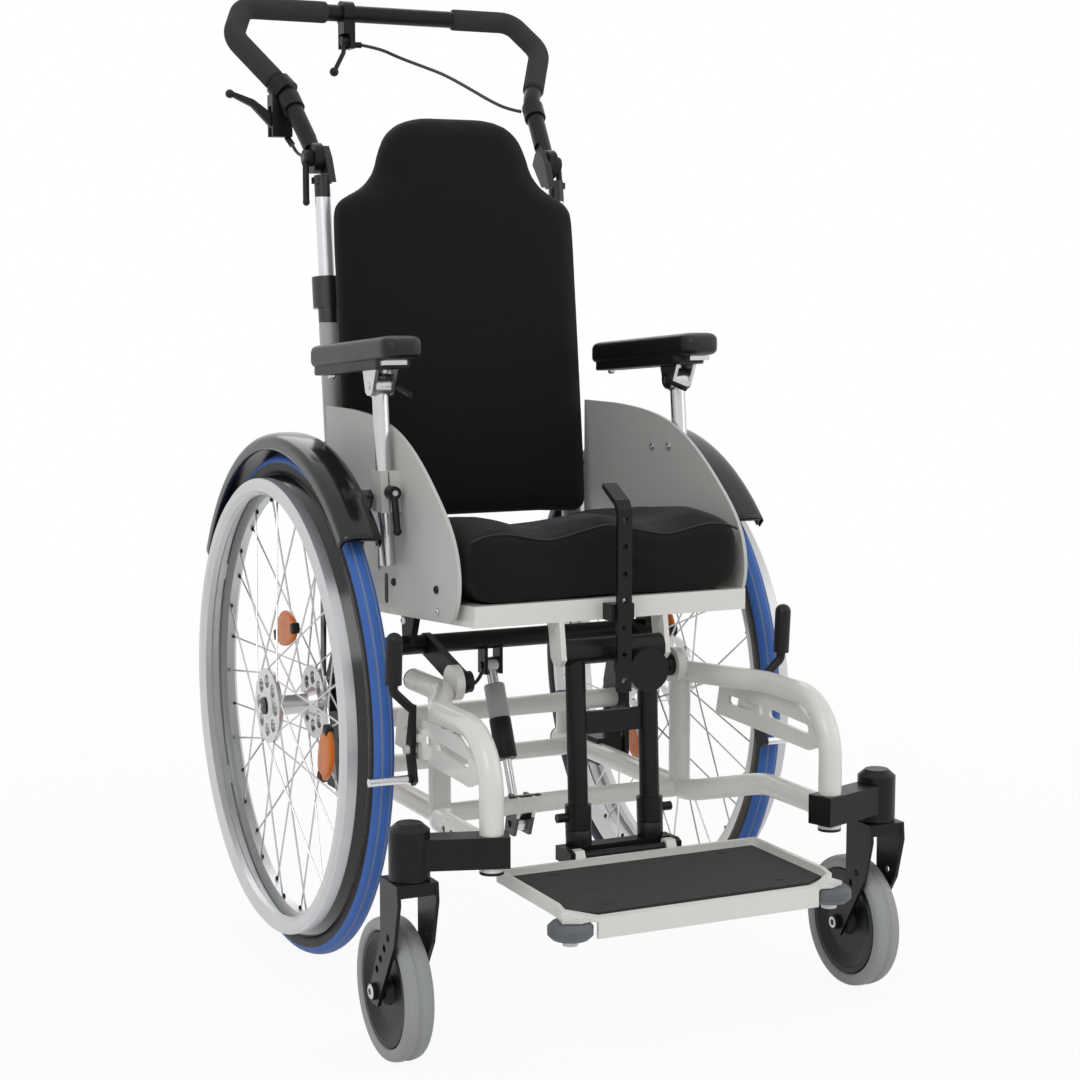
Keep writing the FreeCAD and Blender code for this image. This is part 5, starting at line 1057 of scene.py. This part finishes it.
# caster wheels: dished centre disc on both faces, and the axle's screw heads outside the fork
dish = {"profile": [(58.0, 7.0), (58.0, 12.2), (54.0, 12.8), (50.0, 11.5), (42.0, 7.5), (26.0, 5.5),
                    (16.0, 6.5), (13.0, 10.5), (9.0, 12.5), (0.5, 12.5)], "axleOut": 22.6, "axleRadius": 8.0}
for sign, word in sideNames.items():
    for face in (-1, 1):
        grid = turned(dish["profile"], (sign * caster["x"], caster["y"], caster["radius"]), (face, 0, 0), 96)
        name = f"casterDish{'AB'[face > 0]}_{word}"
        addPiece(name, gridMesh(name, grid, sharp=60), "caster_wheel_" + word, "blackPlastic")
        boltAt = (sign * caster["x"] + face * dish["axleOut"], caster["y"], caster["radius"])
        addScrew(f"casterBolt{'AB'[face > 0]}_{word}", boltAt, (face, 0, 0), dish["axleRadius"], 5.0,
                 "caster_fork_" + word)
print("caster centres made")


# piping: for each x the cushion's point furthest forward and up (largest z - y), smoothed along x
piping = {"half": 163.0, "count": 120, "reach": 5.0, "radius": 1.5, "smooth": 9, "lift": 0.3}
x = np.linspace(-piping["half"], piping["half"], piping["count"])
score = seatSurface[:, 2] - seatSurface[:, 1]
close = np.abs(x[:, None] - seatSurface[None, :, 0]) < piping["reach"]
best = np.argmax(np.where(close, score[None, :], -1e9), axis=1)
kernel = np.ones(piping["smooth"]) / piping["smooth"]
edge = piping["smooth"] // 2
y, z = (np.convolve(np.pad(seatSurface[best, k], edge, "edge"), kernel, "valid") for k in (1, 2))
path = np.stack([x, y - piping["lift"], z + piping["lift"]], 1)
line = sweep(path, piping["radius"], 16, upward=(0.0, 0.2, 1.0))
addPiece("seatPiping", gridMesh("seatPiping", line), "seat", "blackPlastic")
print("piping made")


# studio: pale floor, world and soft lamps
studio = {"floor": 0.86, "world": 0.55, "whiteShare": 0.93, "fadeFrom": 0.5, "fadeOver": 3.0,
          "lookAt": (0.0, 0.0, 0.5),
          "lamps": {"key": ((-2.6, -2.8, 3.2), 2.2, 46.0), "fill": ((3.0, -2.0, 1.8), 2.4, 22.0),
                    "back": ((0.6, 3.0, 3.0), 2.4, 26.0)}}


def seenRay(tree):
    path = tree.nodes.new("ShaderNodeLightPath")
    seen = mathNode(tree, "MAXIMUM", path.outputs["Is Camera Ray"], path.outputs["Is Glossy Ray"])
    return mathNode(tree, "MAXIMUM", seen, path.outputs["Is Transmission Ray"])


def buildStudio(s):
    mesh = bpy.data.meshes.new("studioFloor")
    mesh.from_pydata([(-30, -30, 0), (30, -30, 0), (30, 30, 0), (-30, 30, 0)], [], [(0, 1, 2, 3)])
    floor = bpy.data.objects.new("studioFloor", mesh)
    bpy.context.scene.collection.objects.link(floor)
    material = bpy.data.materials.new("studioFloor")
    material.use_nodes = True
    tree = material.node_tree
    tree.nodes.clear()
    output = tree.nodes.new("ShaderNodeOutputMaterial")
    diffuse = tree.nodes.new("ShaderNodeBsdfDiffuse")
    diffuse.inputs["Color"].default_value = (s["floor"],) * 3 + (1.0,)
    glow = tree.nodes.new("ShaderNodeEmission")
    mix = tree.nodes.new("ShaderNodeMixShader")
    # white share grows with distance: w + (1 - w) clamp((r - from) / over), so that no horizon shows
    place = tree.nodes.new("ShaderNodeTexCoord").outputs["Object"]
    reach = tree.nodes.new("ShaderNodeVectorMath")
    reach.operation = "LENGTH"
    tree.links.new(place, reach.inputs[0])
    past = mathNode(tree, "SUBTRACT", reach.outputs["Value"], s["fadeFrom"])
    fade = mathNode(tree, "DIVIDE", past, s["fadeOver"], clamp=True)
    white = mathNode(tree, "ADD", mathNode(tree, "MULTIPLY", fade, 1.0 - s["whiteShare"]), s["whiteShare"])
    share = mathNode(tree, "MULTIPLY", seenRay(tree), white)
    tree.links.new(share, mix.inputs[0])
    tree.links.new(diffuse.outputs[0], mix.inputs[1])
    tree.links.new(glow.outputs[0], mix.inputs[2])
    tree.links.new(mix.outputs[0], output.inputs[0])
    mesh.materials.append(material)
    world = bpy.data.worlds.new("studioWorld")
    bpy.context.scene.world = world
    world.use_nodes = True
    tree = world.node_tree
    background = tree.nodes["Background"]
    background.inputs["Color"].default_value = (1.0, 1.0, 1.0, 1.0)
    tree.links.new(mixNumber(tree, seenRay(tree), s["world"], 1.0), background.inputs["Strength"])
    for name, (place, size, power) in s["lamps"].items():
        light = bpy.data.lights.new(name, "AREA")
        light.size = size
        light.energy = power
        lamp = bpy.data.objects.new(name, light)
        bpy.context.scene.collection.objects.link(lamp)
        aim = Vector(place) - Vector(s["lookAt"])
        lamp.location = place
        lamp.rotation_mode = "QUATERNION"
        lamp.rotation_quaternion = aim.to_track_quat("Z", "Y")


buildStudio(studio)
print("studio ready")
